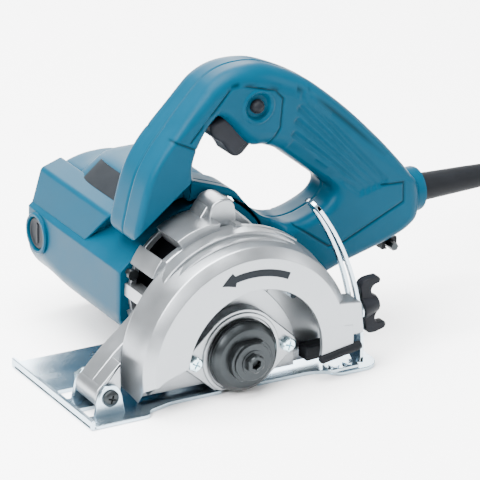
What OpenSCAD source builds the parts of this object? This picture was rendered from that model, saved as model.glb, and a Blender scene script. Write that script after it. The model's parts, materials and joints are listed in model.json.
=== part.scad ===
// Corded masonry trim saw for a 110 mm diamond blade.
// X runs from the pivot end (-) to the cord end (+), the blade side is -Y, Z is up.
// Origin: under the spindle axis (x = 0), in the plane the blade seats on (y = 0),
// on the underside of the sole (z = 0).

/* [Sole] */
// Length of the sole, front lip to rear tab
sole_len = 187; // [170:1:230]
// Width of the sole across the saw
sole_w = 98.5; // [94:0.5:120]
// Sheet thickness of the sole and the depth guide
sheet_t = 2.2; // [1.5:0.1:3]
// Height of the turned-up front lip
lip_h = 5.5; // [4:0.5:8]
// Radius of the pivot screw's shank
pivot_r = 3; // [2.5:0.1:4]
// Height of the pivot axis above the ground
pivot_z = 12; // [11.5:0.5:14]

/* [Blade case] */
// Height of the spindle axis above the ground
spindle_z = 22.8; // [21.5:0.1:26]
// Largest blade the case takes, radius
blade_r = 55; // [50:0.5:56]
// Outer radius of the case's near face
case_r = 61; // [60:0.5:66]
// Depth of the case from near face to floor
case_depth = 20.5; // [18:0.5:24]
// Distance of the near face in front of the blade seat
case_reach = 11; // [10:0.5:12]
// Wall of the castings
cast_wall = 3; // [2.5:0.25:4]

/* [Flanges and spindle] */
// Radius of both clamping flanges
flange_r = 21; // [18:0.5:22]
// Radius of the blade's arbor hole
arbor_r = 10; // [8:0.5:11]
// Radius of the spindle
spindle_r = 6; // [5:0.5:7]
// Outer radius of the front spindle bearing
bearing_r = 16; // [14:0.5:17]
// Width of the front spindle bearing
bearing_w = 10; // [8:0.5:11]
// Distance of each bearing box screw from the spindle
box_screw_x = 30; // [29:0.5:32]

/* [Gears] */
// Gear module
gear_m = 1.25; // [1:0.05:1.4]
// Teeth on the spindle gear
gear_teeth = 30;
// Teeth on the armature pinion
pinion_teeth = 25;
// Face width of the spindle gear
gear_w = 8; // [6:0.5:10]

/* [Motor] */
// Motor axis, distance in front of the spindle
motor_dx = 11; // [8:0.5:13]
// Length of the motor housing
motor_len = 116; // [105:1:140]
// Inner radius of the motor housing
motor_bore_r = 37.5; // [36:0.5:38.5]
// Outer radius of the armature core
armature_r = 23; // [20:0.5:24]
// Length of the armature core
armature_len = 38; // [30:1:45]

/* [Handle] */
// Thickness of the handle, both halves
handle_w = 34; // [32:0.5:42]
// Travel of the trigger
trigger_travel = 5; // [3:0.5:6]
// Width of the trigger
trigger_w = 18; // [14:0.5:20]
// Radius of the lock button
lock_r = 4.2; // [3.5:0.1:5]
// Travel of the lock button
lock_travel = 2.5; // [1.5:0.5:3]

/* [Depth guide] */
// Inner radius of the guide's arc about the pivot
guide_r = 155.2; // [154.5:0.1:162]
// Width of the guide
guide_w = 13; // [12:0.5:14]
// Width of the guide's slot
slot_w = 6.6; // [6.4:0.1:7.5]
// Radius of the wing bolt's stud
stud_r = 3; // [2.5:0.1:3.1]

/* [Cord] */
// Diameter of the mains lead
cord_d = 8; // [7:0.5:9]
// Length of the cord guard outside the handle
guard_len = 51;

/* [Hidden] */
// distance from the plane of the blade seat to the origin, along y
origin_y = 40;
$fn = 72;

// Clearances: between pieces that sit together, and round a shaft that turns
gap = 0.3;
seat = 0.05;

// Sole and pivot
sole_front = -99;
sole_rear = sole_front + sole_len;
sole_near = -8;
sole_far = sole_near + sole_w;
pivot_x = -82;
lug_near = 2.6;
lug_far = 29.6;
lug_r = 7.2;
pivot_end = lug_far + sheet_t + 7;

// Blade case
case_near = -case_reach;
case_floor = case_near + case_depth;
case_back = case_floor + cast_wall;
rim_r = case_r + 5.5;
rim_back = case_back + 2.5;
rim_back_r = rim_r + 3;
ground_clear = 4;
arch_r = 43;
arch_x = 3;

// Bearing box, flanges and spindle
box_front = 1.8;
box_r = 26.5;
boss_r = flange_r + 3.5;
inner_flange_t = 4;
bearing_y = inner_flange_t + 3.2;
bearing_end = bearing_y + bearing_w;
hub_r = bearing_r + 4;
rear_bearing_r = 11;
rear_bearing_w = 7;
journal_r = 4;

// Opening in the sole under the gear chamber
chamber_w = 23;
sole_clear = 0.6;

// Gears: the pinion meshes above and in front of the spindle gear
gear_pitch = gear_m * gear_teeth / 2;
pinion_pitch = gear_m * pinion_teeth / 2;
centre = gear_pitch + pinion_pitch;
motor_x = -motor_dx;
motor_z = spindle_z + sqrt(centre * centre - motor_dx * motor_dx);
mesh_angle = atan2(motor_z - spindle_z, motor_x);
gear_y = bearing_end + 3;
gear_end = gear_y + gear_w;
rear_bearing_y = gear_end + 2.5;

// Motor
housing_y = 41;
housing_end = housing_y + motor_len;
ring_r = 42.5;
core_y = housing_y + 40;
core_end = core_y + armature_len;
comm_y = core_end + 16.6;
comm_len = 12.8;
comm_r = 12;
brush_y = comm_y + comm_len / 2;
shaft_r = 5;
shaft_end = housing_end - 2.5;
rear_seat_y = housing_end - 8.1;
cap_r = 9.5;
housing_front = -56;
// Distance of a brush cap's inner face from the motor axis, rear (1) and front (-1)
function cap_at(s) = s > 0 ? 35.1 + motor_dx : 54.6 - motor_dx;

// Handle
handle_y = 48.5;
handle_near = handle_y - handle_w / 2;
handle_far = handle_y + handle_w / 2;
lock_x = 26;
lock_z = 155.5;
pull = [0.64, 0, 0.77];
exit_x = 143;
exit_z = 80.5;
collar_r = 13.5;
guard_end = exit_x + guard_len;
guard_root_r = 9;
guard_tip_r = 6;
wrench_x = 121;
wrench_z = 52.5;

// Depth guide and wing bolt
guide_near = -8;
guide_far = guide_near + guide_w;
slot_y = (guide_near + guide_far) / 2;
wing_angle = 9;
wing_half = 16.5;
wing_dir = [cos(wing_angle), 0, sin(wing_angle)];
guide_out = guide_r + sheet_t;
guide_low = asin((sheet_t - pivot_z) / guide_out);
guide_top = 38;
rivet_spots = [[59, -2.5], [68, -2.5]];
rivet_r = 1.8;

// The lead: straight out, down to the ground, then into the coil (hand-set points)
route = [[194, 48.5, 80.5], [202, 48.5, 80.5], [210, 48.5, 80.5], [219, 48.5, 79],
  [227, 48.5, 75.5], [234, 48.5, 70], [239.5, 48.5, 62.5], [242.5, 48.5, 54],
  [243, 48.5, 45], [243, 48.5, 38], [244.5, 48.5, 29], [248.5, 48.5, 20.5],
  [254.5, 48.5, 13], [262, 48.5, 7.5], [270, 48.5, 4.5], [277.5, 48.5, 4]];
tail = [[347.5, 86, 20], [349.5, 95, 20], [349.5, 104, 20], [348, 112, 20.5], [344, 119.5, 21.5],
  [338, 125.5, 22.7], [330.5, 129.5, 23.5], [322, 131, 23.8], [314, 130.5, 23.8]];
coil_x = 298;
coil_y = 100;
coil_turn_r = 43.5;
coil_half = 12;
coil_h = 16;
plug_len = 42;
plug_w = 34;
plug_t = 15;
pin_len = 19;
plug_at = [314, 130.5, 23.8];
plug_turn = 177;

// Outline of the handle in X and Z, from the front leg over the top to the cord end
handle_outline = [[-50, 84], [-48.5, 101], [-43, 121], [-36, 134], [-27, 144], [-8, 166],
  [0, 172.5], [9, 176.5], [20, 178], [32, 177.2], [45, 172.5], [69, 159], [90, 141],
  [110, 122], [124, 105], [131, 96], [136, 88], [136, 71], [131, 63.5], [119, 58],
  [88, 49], [72, 43], [48, 38], [20, 38], [-46, 76]];
// Outline of the finger opening
opening_outline = [[-9, 113], [-14, 121], [-13.5, 130], [-8, 142.5], [-1.5, 150], [5, 153],
  [11, 151.5], [29, 138], [31, 131.5], [54, 116.5], [76, 99.5], [78, 95], [76, 89.5],
  [70, 84.5], [50, 78], [28, 90], [13, 101]];
// Outline of the motor housing, from the front foot clockwise
housing_outline = [[-56, 38], [-56, 71], [-41, 83], [-30, 93.5], [-18, 99.5], [4, 101.5],
  [18, 97], [32, 84], [36.5, 70], [36.5, 40], [28, 24], [10, 12.4], [-25, 12.4], [-42, 20]];
handle_screw_spots = [[-34, 104], [-9.5, 155], [50, 158], [92, 127], [116, 92], [66, 62]];
// Screws between gear housing and motor housing: angles and radius about the motor axis
housing_screw_angles = [20, 163, 215, 340];
screw_ring_r = 41.5;
ear_r = 4;
ring_y0 = housing_y - 4;
// Angles of the cooling ribs about the motor axis: [first, last]
ribs = [[107, 122], [139, 157], [172, 183], [195, 210]];
// Screws that hold the blade case on the gear housing
case_screw_spots = [[-40, 42], [20, 60], [38, 48]];
// Rounded boss on top of the gear housing
bump_x = -2;
bump_z = 96;
bump_r = 8;

// ---- shared shapes ----

// Extrudes an outline drawn in X and Z from y0 to y1
module along_y(y0, y1) {
  translate([0, y1, 0]) rotate([90, 0, 0]) linear_extrude(y1 - y0) children();
}

// Round bar along Y
module rod_y(r, y0, y1, x = 0, z = 0) {
  translate([x, y0, z]) rotate([-90, 0, 0]) cylinder(r = r, h = y1 - y0);
}

// Ring along Y
module ring_y(r_out, r_in, y0, y1, x = 0, z = 0) {
  difference() {
    rod_y(r_out, y0, y1, x, z);
    rod_y(r_in, y0 - 1, y1 + 1, x, z);
  }
}

// Turned shape about an axis along Y: points are [radius, y]
module turned_y(points, x = 0, z = 0) {
  translate([x, 0, z]) rotate([-90, 0, 0]) rotate_extrude() polygon(points);
}

// Cross recess of a Phillips screw, cut along Y from y0 inwards
module cross_recess(size, y0, depth, x, z) {
  for (turn = [0, 90]) translate([x, y0, z]) rotate([0, turn + 45, 0])
    translate([-size / 2, -1, -size / 8]) cube([size, depth + 1, size / 4]);
}

// Spur gear outline: flat-topped teeth, tooth thickness kept under half the pitch
function gear_points(teeth, pitch_r, turn) = [
  for (i = [0 : teeth - 1], c = [[-0.29, -1.15], [-0.11, 0.85], [0.11, 0.85], [0.29, -1.15]])
    let (a = (i + c[0]) * 360 / teeth + turn, r = pitch_r + c[1] * gear_m)
    [r * cos(a), r * sin(a)]];

// Outline moved outwards by d from the middle of the motor
function grown(points, d) = [for (p = points)
  let (v = p - [motor_x, motor_z]) p + v * d / norm(v)];

// Outline moved inwards by d, corner by corner; the points run clockwise
function inset(points, d) = [for (i = [0 : len(points) - 1])
  let (n = len(points), a = points[(i + n - 1) % n], b = points[i], c = points[(i + 1) % n],
       u = (b - a) / norm(b - a), v = (c - b) / norm(c - b),
       m = [u[1] + v[1], -u[0] - v[0]], k = norm(m))
  b + m / k * d / max(k / 2, 0.6)];

// Ring of points across a path, square to the direction it takes there
function path_dir(path, i) = let (a = path[max(i - 1, 0)], b = path[min(i + 1, len(path) - 1)])
  (b - a) / norm(b - a);
function tube_ring(path, i, r, sides) = let (
    t = path_dir(path, i),
    side = abs(t[2]) > 0.99 ? [0, 1, 0] : cross([0, 0, 1], t) / norm(cross([0, 0, 1], t)),
    up = cross(t, side))
  [for (k = [0 : sides - 1]) path[i] + r * (cos(k * 360 / sides) * side
    + sin(k * 360 / sides) * up)];

// Round tube swept along a path as one closed solid
module tube_along(path, r, sides = 10) {
  n = len(path);
  polyhedron(
    points = [for (i = [0 : n - 1]) each tube_ring(path, i, r, sides)],
    faces = concat(
      [[for (k = [sides - 1 : -1 : 0]) k]],
      [for (i = [0 : n - 2], k = [0 : sides - 1])
        [i * sides + k, i * sides + (k + 1) % sides,
         (i + 1) * sides + (k + 1) % sides, (i + 1) * sides + k]],
      [[for (k = [0 : sides - 1]) (n - 1) * sides + k]]));
}

// ---- sole, pivot and depth guide ----

// Flat outline of the sole: tabs front and rear stand out on the blade side
module sole_outline() {
  notch = 2;
  tab_r = 9;
  difference() {
    union() {
      polygon([[sole_front, sole_near], [-62, sole_near], [-62, -3], [-44, notch],
        [46, notch], [54, -1], [59, sole_near], [sole_rear - tab_r, sole_near],
        [sole_rear, sole_near + tab_r], [sole_rear, sole_far - 12],
        [sole_rear - 12, sole_far], [sole_front, sole_far]]);
      translate([sole_rear - tab_r, sole_near + tab_r]) circle(r = tab_r);
    }
    for (y = [lug_near, lug_far])
      translate([pivot_x - 12.5, y + sheet_t]) square([20.5, 12.5]);
    // opening that the spindle gear's chamber dips into
    translate([-chamber_w / 2, sole_near - 1]) square([chamber_w, housing_y - 6 - sole_near]);
  }
}

// Pivot lug, punched and bent up from the sole
module lug(y) {
  along_y(y, y + sheet_t) {
    translate([pivot_x, pivot_z]) circle(r = lug_r);
    polygon([[pivot_x - 10, 0], [pivot_x - 10, sheet_t], [pivot_x - lug_r, pivot_z + 1],
      [pivot_x + lug_r, pivot_z + 1], [pivot_x + 9, sheet_t], [pivot_x + 9, 0]]);
  }
}

// Sole pressed from one sheet, with its front edge turned up
module base_plate() {
  color("#b4c0c8") difference() {
    union() {
      linear_extrude(sheet_t) sole_outline();
      translate([sole_front, sole_near, 0]) cube([sheet_t, sole_w, lip_h]);
      lug(lug_near);
      lug(lug_far);
    }
    rod_y(pivot_r + seat, lug_near - 1, lug_far + sheet_t + 1, pivot_x, pivot_z);
    for (p = rivet_spots) translate([p[0], p[1], -1]) cylinder(r = rivet_r, h = sheet_t + 2);
    for (p = rivet_spots) translate([p[0], p[1], -1]) cylinder(r = 3.2, h = 1.6);
  }
}

// Part of a circle's sector, as a wide fan from the pivot
module fan(a0, a1, r) {
  translate([pivot_x, pivot_z]) polygon([[0, 0], for (i = [0 : 6])
    let (a = a0 + (a1 - a0) * i / 6) [r * cos(a), r * sin(a)]]);
}

// Slotted arc that the wing bolt clamps on, with a foot riveted to the sole
module depth_guide() {
  outer = guide_r + sheet_t;
  foot_x = 54;
  color("#c4ced4") difference() {
    union() {
      along_y(guide_near, guide_far) intersection() {
        translate([pivot_x, pivot_z]) difference() {
          circle(r = outer, $fn = 180);
          circle(r = guide_r, $fn = 180);
        }
        fan(guide_low, guide_top, outer + 20);
      }
      translate([foot_x, guide_near + 1, sheet_t])
        cube([pivot_x + guide_r - foot_x, guide_w - 2, sheet_t]);
    }
    along_y(slot_y - slot_w / 2, slot_y + slot_w / 2) fan(4, guide_top - 3, outer + 20);
    for (p = rivet_spots) translate([p[0], p[1], 0]) cylinder(r = rivet_r, h = 10);
  }
}

// Two rivets that hold the guide's foot down
module guide_rivets() {
  color("#c9d2d8") for (p = rivet_spots) translate([p[0], p[1], 0]) {
    translate([0, 0, 0.2]) cylinder(r = rivet_r, h = 2 * sheet_t - 0.2);
    translate([0, 0, 2 * sheet_t]) cylinder(r = 3.2, h = 1.3);
    translate([0, 0, 0.1]) cylinder(r = 3.1, h = 0.5);
  }
}

// Pan-head screw the saw swings on
module pivot_screw() {
  head_y = lug_near - 2.6;
  color("#22262a") difference() {
    union() {
      rod_y(pivot_r, head_y + 1, pivot_end, pivot_x, pivot_z);
      turned_y([[0, head_y], [3.4, head_y + 0.3], [5, head_y + 1.7], [5, lug_near], [0, lug_near]],
        pivot_x, pivot_z);
    }
    cross_recess(5, head_y, 1.4, pivot_x, pivot_z);
  }
}

// Nut on the far lug
module pivot_nut() {
  y0 = lug_far + sheet_t;
  color("#c9d2d8") difference() {
    translate([pivot_x, y0, pivot_z]) rotate([-90, 0, 0]) cylinder(r = 5.6, h = 5, $fn = 6);
    rod_y(pivot_r, y0 - 1, y0 + 6, pivot_x, pivot_z);
  }
}

// ---- castings ----

// Places children on the ring of screws between gear housing and motor housing
module on_screw_ring(a) {
  translate([motor_x + screw_ring_r * cos(a), 0, motor_z + screw_ring_r * sin(a)]) children();
}

// Diamond plate outline round the spindle
module diamond() {
  ear_r = 6;
  translate([0, spindle_z]) {
    circle(r = box_r);
    for (s = [-1, 1]) translate([s * box_screw_x, 0]) circle(r = ear_r);
    for (s = [-1, 1]) polygon([[0, box_r - 2], [s * 13, box_r - 5], [s * (box_screw_x + 2), ear_r - 0.4],
      [s * (box_screw_x + 2), 0.4 - ear_r], [s * 13, 5 - box_r], [0, 2 - box_r]]);
  }
}

// Region kept above the ground
module above_ground(z) {
  translate([-120, z]) square([240, 220]);
}

// Places children on the wing bolt's axis, at a distance from the pivot
module on_wing_axis(distance) {
  translate([pivot_x, slot_y, pivot_z] + distance * wing_dir)
    rotate([0, 90 - wing_angle, 0]) children();
}

// Cast cover over the upper half of the blade, open below
module blade_case() {
  cavity_r = blade_r + 5.5;
  lug_end = guide_r - gap;
  bevel = 5;
  floor_slot = box_r + gap;
  color("#cdd0d2") difference() {
    union() {
      // rim with a bevelled near edge that flares towards the back
      intersection() {
        turned_y([[0, case_near], [case_r, case_near], [rim_r, case_near + bevel],
          [rim_r + 1.5, case_floor], [rim_back_r, rim_back], [0, rim_back]], 0, spindle_z);
        along_y(case_near, rim_back) above_ground(ground_clear);
      }
      // lug for the wing bolt, inside the arc of the guide
      intersection() {
        along_y(case_near, guide_far - 1.5) polygon([[56, 26], [74, 25.6], [72, 45], [52, 46.5]]);
        rod_y(lug_end, case_near, guide_far, pivot_x, pivot_z);
      }
      // straight lower rear corner of the near face
      along_y(case_near, case_near + cast_wall) polygon([[48, 18], [67, 22], [66.5, 30], [48, 42]]);
    }
    // blade space
    rod_y(cavity_r, case_near + cast_wall, case_floor, 0, spindle_z);
    // arch in the near face, and its slanted front end
    along_y(case_near - 1, case_near + cast_wall + 1) {
      translate([arch_x, spindle_z]) circle(r = arch_r);
      polygon([[-90, -5], [-62.5, 18.3], [-58, 18.5], [-38, 30], [-30, spindle_z], [47, spindle_z],
        [47.5, 14], [72, 19], [72, -5]]);
    }
    // slanted foot of the rim
    translate([-80, case_near - 1, 0]) rotate([-38, 0, 0]) translate([0, -20, -8]) cube([40, 20, 26]);
    // rear foot of the rim, cut above the dust skirt
    translate([46, case_near - 1, -1]) cube([40, case_floor - case_near + 1, 15]);
    // seat of the bearing box and the passage of its hub
    rod_y(hub_r + gap, case_floor - 1, rim_back + 1, 0, spindle_z);
    for (s = [-1, 1]) rod_y(2.5, case_floor - 1, rim_back + 1, s * box_screw_x, spindle_z);
    // pocket behind the floor that the gear housing fills
    rod_y(rim_back_r - 3, case_back, rim_back + 1, 0, spindle_z);
    for (p = case_screw_spots) rod_y(2, case_floor - 1, rim_back + 1, p[0], p[1]);
    on_wing_axis(140) cylinder(r = stud_r + seat, h = 20);
  }
}

// Cast gear housing: gear chamber, cooling ribs, pivot arm
module gear_housing() {
  front = case_back + gap;
  chamber_r = gear_pitch + gear_m + 0.6;
  arm_top = lug_far - gap;
  arm_near = lug_near + sheet_t + gap;
  color("#c4c7c9") difference() {
    union() {
      // front plate, spigoted into the back of the blade case
      intersection() {
        rod_y(rim_back_r - 3 - gap, front, rim_back + 3, 0, spindle_z);
        along_y(front, rim_back + 3) intersection() {
          above_ground(ground_clear + 1);
          union() {
            translate([0, spindle_z]) circle(r = 27);
            translate([motor_x, motor_z]) circle(r = ring_r);
            polygon([[-50, 35], [20, 20], [42, 40], [20, 70], [-30, 80]]);
          }
        }
      }
      // gear chamber and the flange that carries the motor housing
      rod_y(chamber_r + 1.6, gear_y - 4, gear_end + 4, 0, spindle_z);
      intersection() {
        rod_y(27, rim_back + 2, housing_y, 0, spindle_z);
        along_y(rim_back, housing_y) above_ground(sheet_t + 2 * sole_clear);
      }
      ring_y(ring_r, ring_r - 6, ring_y0, housing_y, motor_x, motor_z);
      for (a = housing_screw_angles) on_screw_ring(a) rod_y(ear_r, ring_y0, housing_y);
      rod_y(21, rim_back + 2, housing_y, motor_x, motor_z);
      // cooling ribs
      for (r = ribs) along_y(rim_back + 1, ring_y0 + 1) intersection() {
        translate([motor_x, motor_z]) difference() { circle(r = ring_r); circle(r = 19); }
        translate([motor_x, motor_z]) polygon([[0, 0], 60 * [cos(r[0]), sin(r[0])],
          60 * [cos(r[1]), sin(r[1])]]);
      }
      // rounded boss at the top with a half-dome end
      translate([bump_x, 24, bump_z]) {
        sphere(r = bump_r);
        rotate([-90, 0, 0]) cylinder(r = bump_r, h = housing_y - 24);
      }
      // arm and boss that swing on the pivot
      rod_y(8, arm_near, arm_top, pivot_x, pivot_z);
      difference() {
        along_y(arm_near, arm_top) polygon([[-87.7, 17.7], [-60, 45.5], [-50, 60], [-40, 52],
          [-46, 34], [-66, 18], [-77, 5.8]]);
        rod_y(rim_back_r + gap, 0, rim_back + gap, 0, spindle_z);
      }
    }
    // inside of the gear chamber, pinion space and bearing seats
    rod_y(hub_r + gap, front - 1, gear_y - 1, 0, spindle_z);
    rod_y(chamber_r, gear_y - 1.5, gear_end + 1.5, 0, spindle_z);
    rod_y(rear_bearing_r + seat, gear_end, rear_bearing_y + rear_bearing_w, 0, spindle_z);
    rod_y(pinion_pitch + gear_m + 1.5, gear_y - 1.5, gear_end + 1.5, motor_x, motor_z);
    rod_y(rear_bearing_r + seat, gear_end + 1, housing_y + 1, motor_x, motor_z);
    rod_y(pivot_r + seat, 0, 40, pivot_x, pivot_z);
    for (s = [-1, 1]) rod_y(2.5, front - 1, rim_back + 12, s * box_screw_x, spindle_z);
    for (p = case_screw_spots) rod_y(2, front - 1, rim_back + 2, p[0], p[1]);
    for (a = housing_screw_angles) on_screw_ring(a) rod_y(2, ring_y0 - 5, housing_y + 1);
  }
}

// Countersunk screws through the case floor into the gear housing
module case_screws() {
  color("#aab4bb") for (p = case_screw_spots)
    turned_y([[0, case_floor - 0.5], [1.9, case_floor - 0.5], [1.9, rim_back + 1.5], [0, rim_back + 1.5]],
      p[0], p[1]);
}

// Cast plate that carries the front spindle bearing
module bearing_box() {
  color("#bfc3c6") difference() {
    union() {
      along_y(box_front, case_floor) diamond();
      rod_y(boss_r, 0.8, box_front + 1, 0, spindle_z);
      rod_y(hub_r, case_floor - 1, bearing_end, 0, spindle_z);
    }
    rod_y(flange_r + 0.6, 0, inner_flange_t + 0.6, 0, spindle_z);
    rod_y(spindle_r + 2, 0, bearing_end + 1, 0, spindle_z);
    rod_y(bearing_r + seat, bearing_y, bearing_end + 1, 0, spindle_z);
    for (s = [-1, 1]) rod_y(2.5, box_front - 1, case_floor + 1, s * box_screw_x, spindle_z);
    translate([-60, -5, -60]) cube([120, 40, 60 + sheet_t + sole_clear]);
  }
}

// Two hex-head screws with cross recesses that hold the bearing box
module bearing_box_screws() {
  head_t = 3.4;
  color("#b9d3dc") for (s = [-1, 1]) difference() {
    union() {
      translate([s * box_screw_x, box_front - head_t, spindle_z])
        rotate([-90, 0, 0]) cylinder(r = 4.6, h = head_t, $fn = 6);
      rod_y(2.3, box_front - 1, rim_back + 10, s * box_screw_x, spindle_z);
    }
    cross_recess(4.6, box_front - head_t, 1.6, s * box_screw_x, spindle_z);
  }
}

// Ball bearing with its races and balls drawn as one piece
module ball_bearing(r_out, r_in, width, y0, x, z) {
  color("#9aa3a8") difference() {
    ring_y(r_out, r_in, y0, y0 + width, x, z);
    for (y = [y0 - 1, y0 + width - 0.6])
      ring_y(r_out - 2.2, r_in + 2.2, y, y + 1.6, x, z);
  }
}

module spindle_front_bearing() {
  ball_bearing(bearing_r, spindle_r + seat, bearing_w, bearing_y, 0, spindle_z);
}

module spindle_rear_bearing() {
  ball_bearing(rear_bearing_r, journal_r + seat, rear_bearing_w, rear_bearing_y, 0, spindle_z);
}

// Rubber skirt under the rear of the blade case
module dust_skirt() {
  bar_r = 3;
  lift = 10;
  color("#1c1e20") {
    // block between the walls of the case
    translate([44, case_near + cast_wall + 1.5, 10.5]) rotate([0, -lift, 0])
      cube([16, case_floor - case_near - cast_wall - 3, 5]);
    // bead along the lower edge of the near wall
    translate([46, case_near + 1.6, 11.4]) rotate([0, 90 - lift, 0]) cylinder(r = bar_r, h = 25);
    translate([49, case_near + 3.8, 11.6]) rotate([0, -lift, 0]) cube([8, 2.2, 3]);
  }
}

// ---- motor ----

// Moulded motor housing: a deep cup round the motor with a raised top panel
module motor_housing() {
  end_wall = 8;
  tail_r = 12;
  color("#147f9d") difference() {
    union() {
      along_y(housing_y + gap, housing_end) polygon(housing_outline);
      // raised hump over the rear of the motor
      along_y(handle_far + 6, housing_end - 12) polygon([[-34, 88], [-28, 100], [-18, 106],
        [6, 107], [18, 100], [30, 84]]);
      // rounded end round the front brush cap
      along_y(brush_y, housing_end - 2) polygon([[-57, 40], [-57, 70], [-50, 72], [-50, 38]]);
      for (s = [-1, 1]) translate([s > 0 ? 25 : housing_front - 2, brush_y, motor_z])
        rotate([0, 90, 0]) cylinder(r = tail_r, h = s > 0 ? 13.5 : 12);
    }
    rod_y(motor_bore_r, housing_y - 1, housing_end - end_wall, motor_x, motor_z);
    rod_y(9 + seat, housing_end - end_wall - 1, housing_end - 2.1, motor_x, motor_z);
    // brush tunnels, straight through front and rear
    for (s = [-1, 1]) translate([motor_x, brush_y, motor_z]) rotate([0, s * 90, 0]) {
      cylinder(r = 6 + seat, h = 80);
      translate([0, 0, cap_at(s) - 0.2]) cylinder(r = cap_r + seat, h = 30);
    }
    // air inlets in the end wall
    for (x = [-28 : 8 : 12]) if (abs(x - motor_x) > 9) for (z = [-1, 1])
      translate([x, housing_end - 10, motor_z + z * 22 - 8]) cube([3.4, 20, 16]);
    for (a = housing_screw_angles) on_screw_ring(a) rod_y(2, housing_y, housing_y + 20);
    // the handle's foot stands in a shallow seat
    along_y(handle_near - 1, handle_far + gap) polygon([[-60, 72.5], [-46.5, 75.7], [-41, 83.3],
      [-30, 93.8], [-18, 99.8], [4, 101.8], [18, 97.3], [60, 97], [60, 120], [-60, 120]]);
  }
}

// Screws from the gear housing into the motor housing
module housing_screws() {
  head_r = 3.2;
  head_t = 2.4;
  color("#aab4bb") for (a = housing_screw_angles) on_screw_ring(a) {
    rod_y(1.8, ring_y0 - 0.5, housing_y + 18);
    rod_y(head_r, ring_y0 - head_t, ring_y0);
  }
}

// Thin blank rating plate on the raised panel
module rating_plate() {
  slope = 31;
  plate_start = [-27.55, 84, 100.62];
  color("#5a5d62") translate(plate_start) rotate([0, -slope, 0]) cube([10.5, 34, 0.7]);
}

// Plastic-bodied brush holders, one each side of the commutator
module brush_holders() {
  color("#3a2f28") for (s = [-1, 1]) translate([motor_x, brush_y, motor_z])
    rotate([0, s * 90, 0]) difference() {
      translate([0, 0, comm_r + 1.5]) cylinder(r = 6, h = cap_at(s) - comm_r - 2.1);
      translate([-3.2, -4.2, comm_r]) cube([6.4, 8.4, 60]);
    }
}

// Carbon blocks that press on the commutator
module carbon_brushes() {
  color("#2b2b2e") for (s = [-1, 1]) translate([motor_x, brush_y, motor_z])
    rotate([0, s * 90, 0]) translate([-3, -4, comm_r + 0.1]) cube([6, 8, 12]);
}

// Brush springs, pressing the carbons in, drawn as short tubes
module brush_springs() {
  color("#b08d4a") for (s = [-1, 1]) translate([motor_x, brush_y, motor_z])
    rotate([0, s * 90, 0]) difference() {
      translate([0, 0, comm_r + 12.4]) cylinder(r = 2.6, h = cap_at(s) - comm_r - 12.7);
      cylinder(r = 1.8, h = 60);
    }
}

// Slotted screw caps over the brushes, recessed in the housing
module brush_caps() {
  color("#43444a") for (s = [-1, 1]) translate([motor_x, brush_y, motor_z])
    rotate([0, s * 90, 0]) translate([0, 0, cap_at(s)])
      difference() {
        cylinder(r = cap_r, h = 2.8);
        translate([-1, -6, 1.6]) cube([2, 12, 3]);
      }
}

// Stack of iron sheets round the armature
module field_core() {
  color("#6d7276") along_y(core_y, core_end) translate([motor_x, motor_z]) difference() {
    intersection() { circle(r = motor_bore_r - seat); square([66, 78], center = true); }
    circle(r = armature_r + 1);
    for (s = [-1, 1]) translate([s * 25, 0]) square([13, 30], center = true);
  }
}

// Copper coils of the field, lying in the core's side slots
module field_coils() {
  color("#b0602c") for (s = [-1, 1]) difference() {
    translate([motor_x + s * 28 - 3, core_y - 8, motor_z - 14])
      cube([6, armature_len + 16, 28]);
    rod_y(armature_r + 1, core_y - 20, core_end + 20, motor_x, motor_z);
  }
}

// Plastic ring that guides the cooling air into the fan
module air_baffle() {
  y0 = housing_y + 14;
  color("#24272a") ring_y(motor_bore_r - 0.3, 28, y0, y0 + 2.5, motor_x, motor_z);
}

module armature_front_bearing() {
  ball_bearing(rear_bearing_r, shaft_r + seat, 7, housing_y - 7.5, motor_x, motor_z);
}

module armature_rear_bearing() {
  ball_bearing(9, journal_r + seat, 6, rear_seat_y, motor_x, motor_z);
}

// ---- handle ----

// Solid body of the handle between two planes, its outer edge drawn in near the faces
module handle_slab(y0, y1, step) {
  along_y(y0, y1) difference() {
    polygon(inset(handle_outline, step));
    polygon(inset(opening_outline, -step));
  }
}

// Space taken out of both halves: switch, grip, leg, trigger travel, cord and screws
module handle_hollows() {
  t = trigger_travel;
  pocket = handle_w / 2 - 4;
  along_y(handle_y - 10, handle_y + 10) {
    polygon([[2, 156], [13, 168], [36, 167], [49, 149], [44, 134], [31, 142], [10, 155]]);
    polygon([[58, 150], [62, 154], [110, 113], [113, 104], [104, 98], [58, 131]]);
    polygon([[-42, 96], [-38, 118], [-23, 138], [-20, 128], [-24, 96]]);
  }
  // trigger slot through the underside
  along_y(handle_y - trigger_w / 2 - gap, handle_y + trigger_w / 2 + gap)
    polygon([[-3, 143], [8, 160], [38, 142], [34, 127], [10, 120]]);
  // channel for the lead and seat of the guard
  translate([100, handle_y, exit_z]) rotate([0, 90, 0]) cylinder(r = cord_d / 2 + 0.6, h = 60);
  translate([100, handle_y - 9, exit_z - 9]) cube([18, 18, 24]);
  translate([exit_x - 9, handle_y, exit_z]) rotate([0, 90, 0]) cylinder(r = guard_root_r + 0.1, h = 20);
  translate([exit_x - 14, handle_y, exit_z]) rotate([0, 90, 0]) cylinder(r = guard_root_r + 2.1, h = 5.4);
  for (p = handle_screw_spots) rod_y(2 + seat, handle_near + 5, handle_far + 1, p[0], p[1]);
  for (p = handle_screw_spots) rod_y(4, handle_far - 4, handle_far + 1, p[0], p[1]);
}

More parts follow.
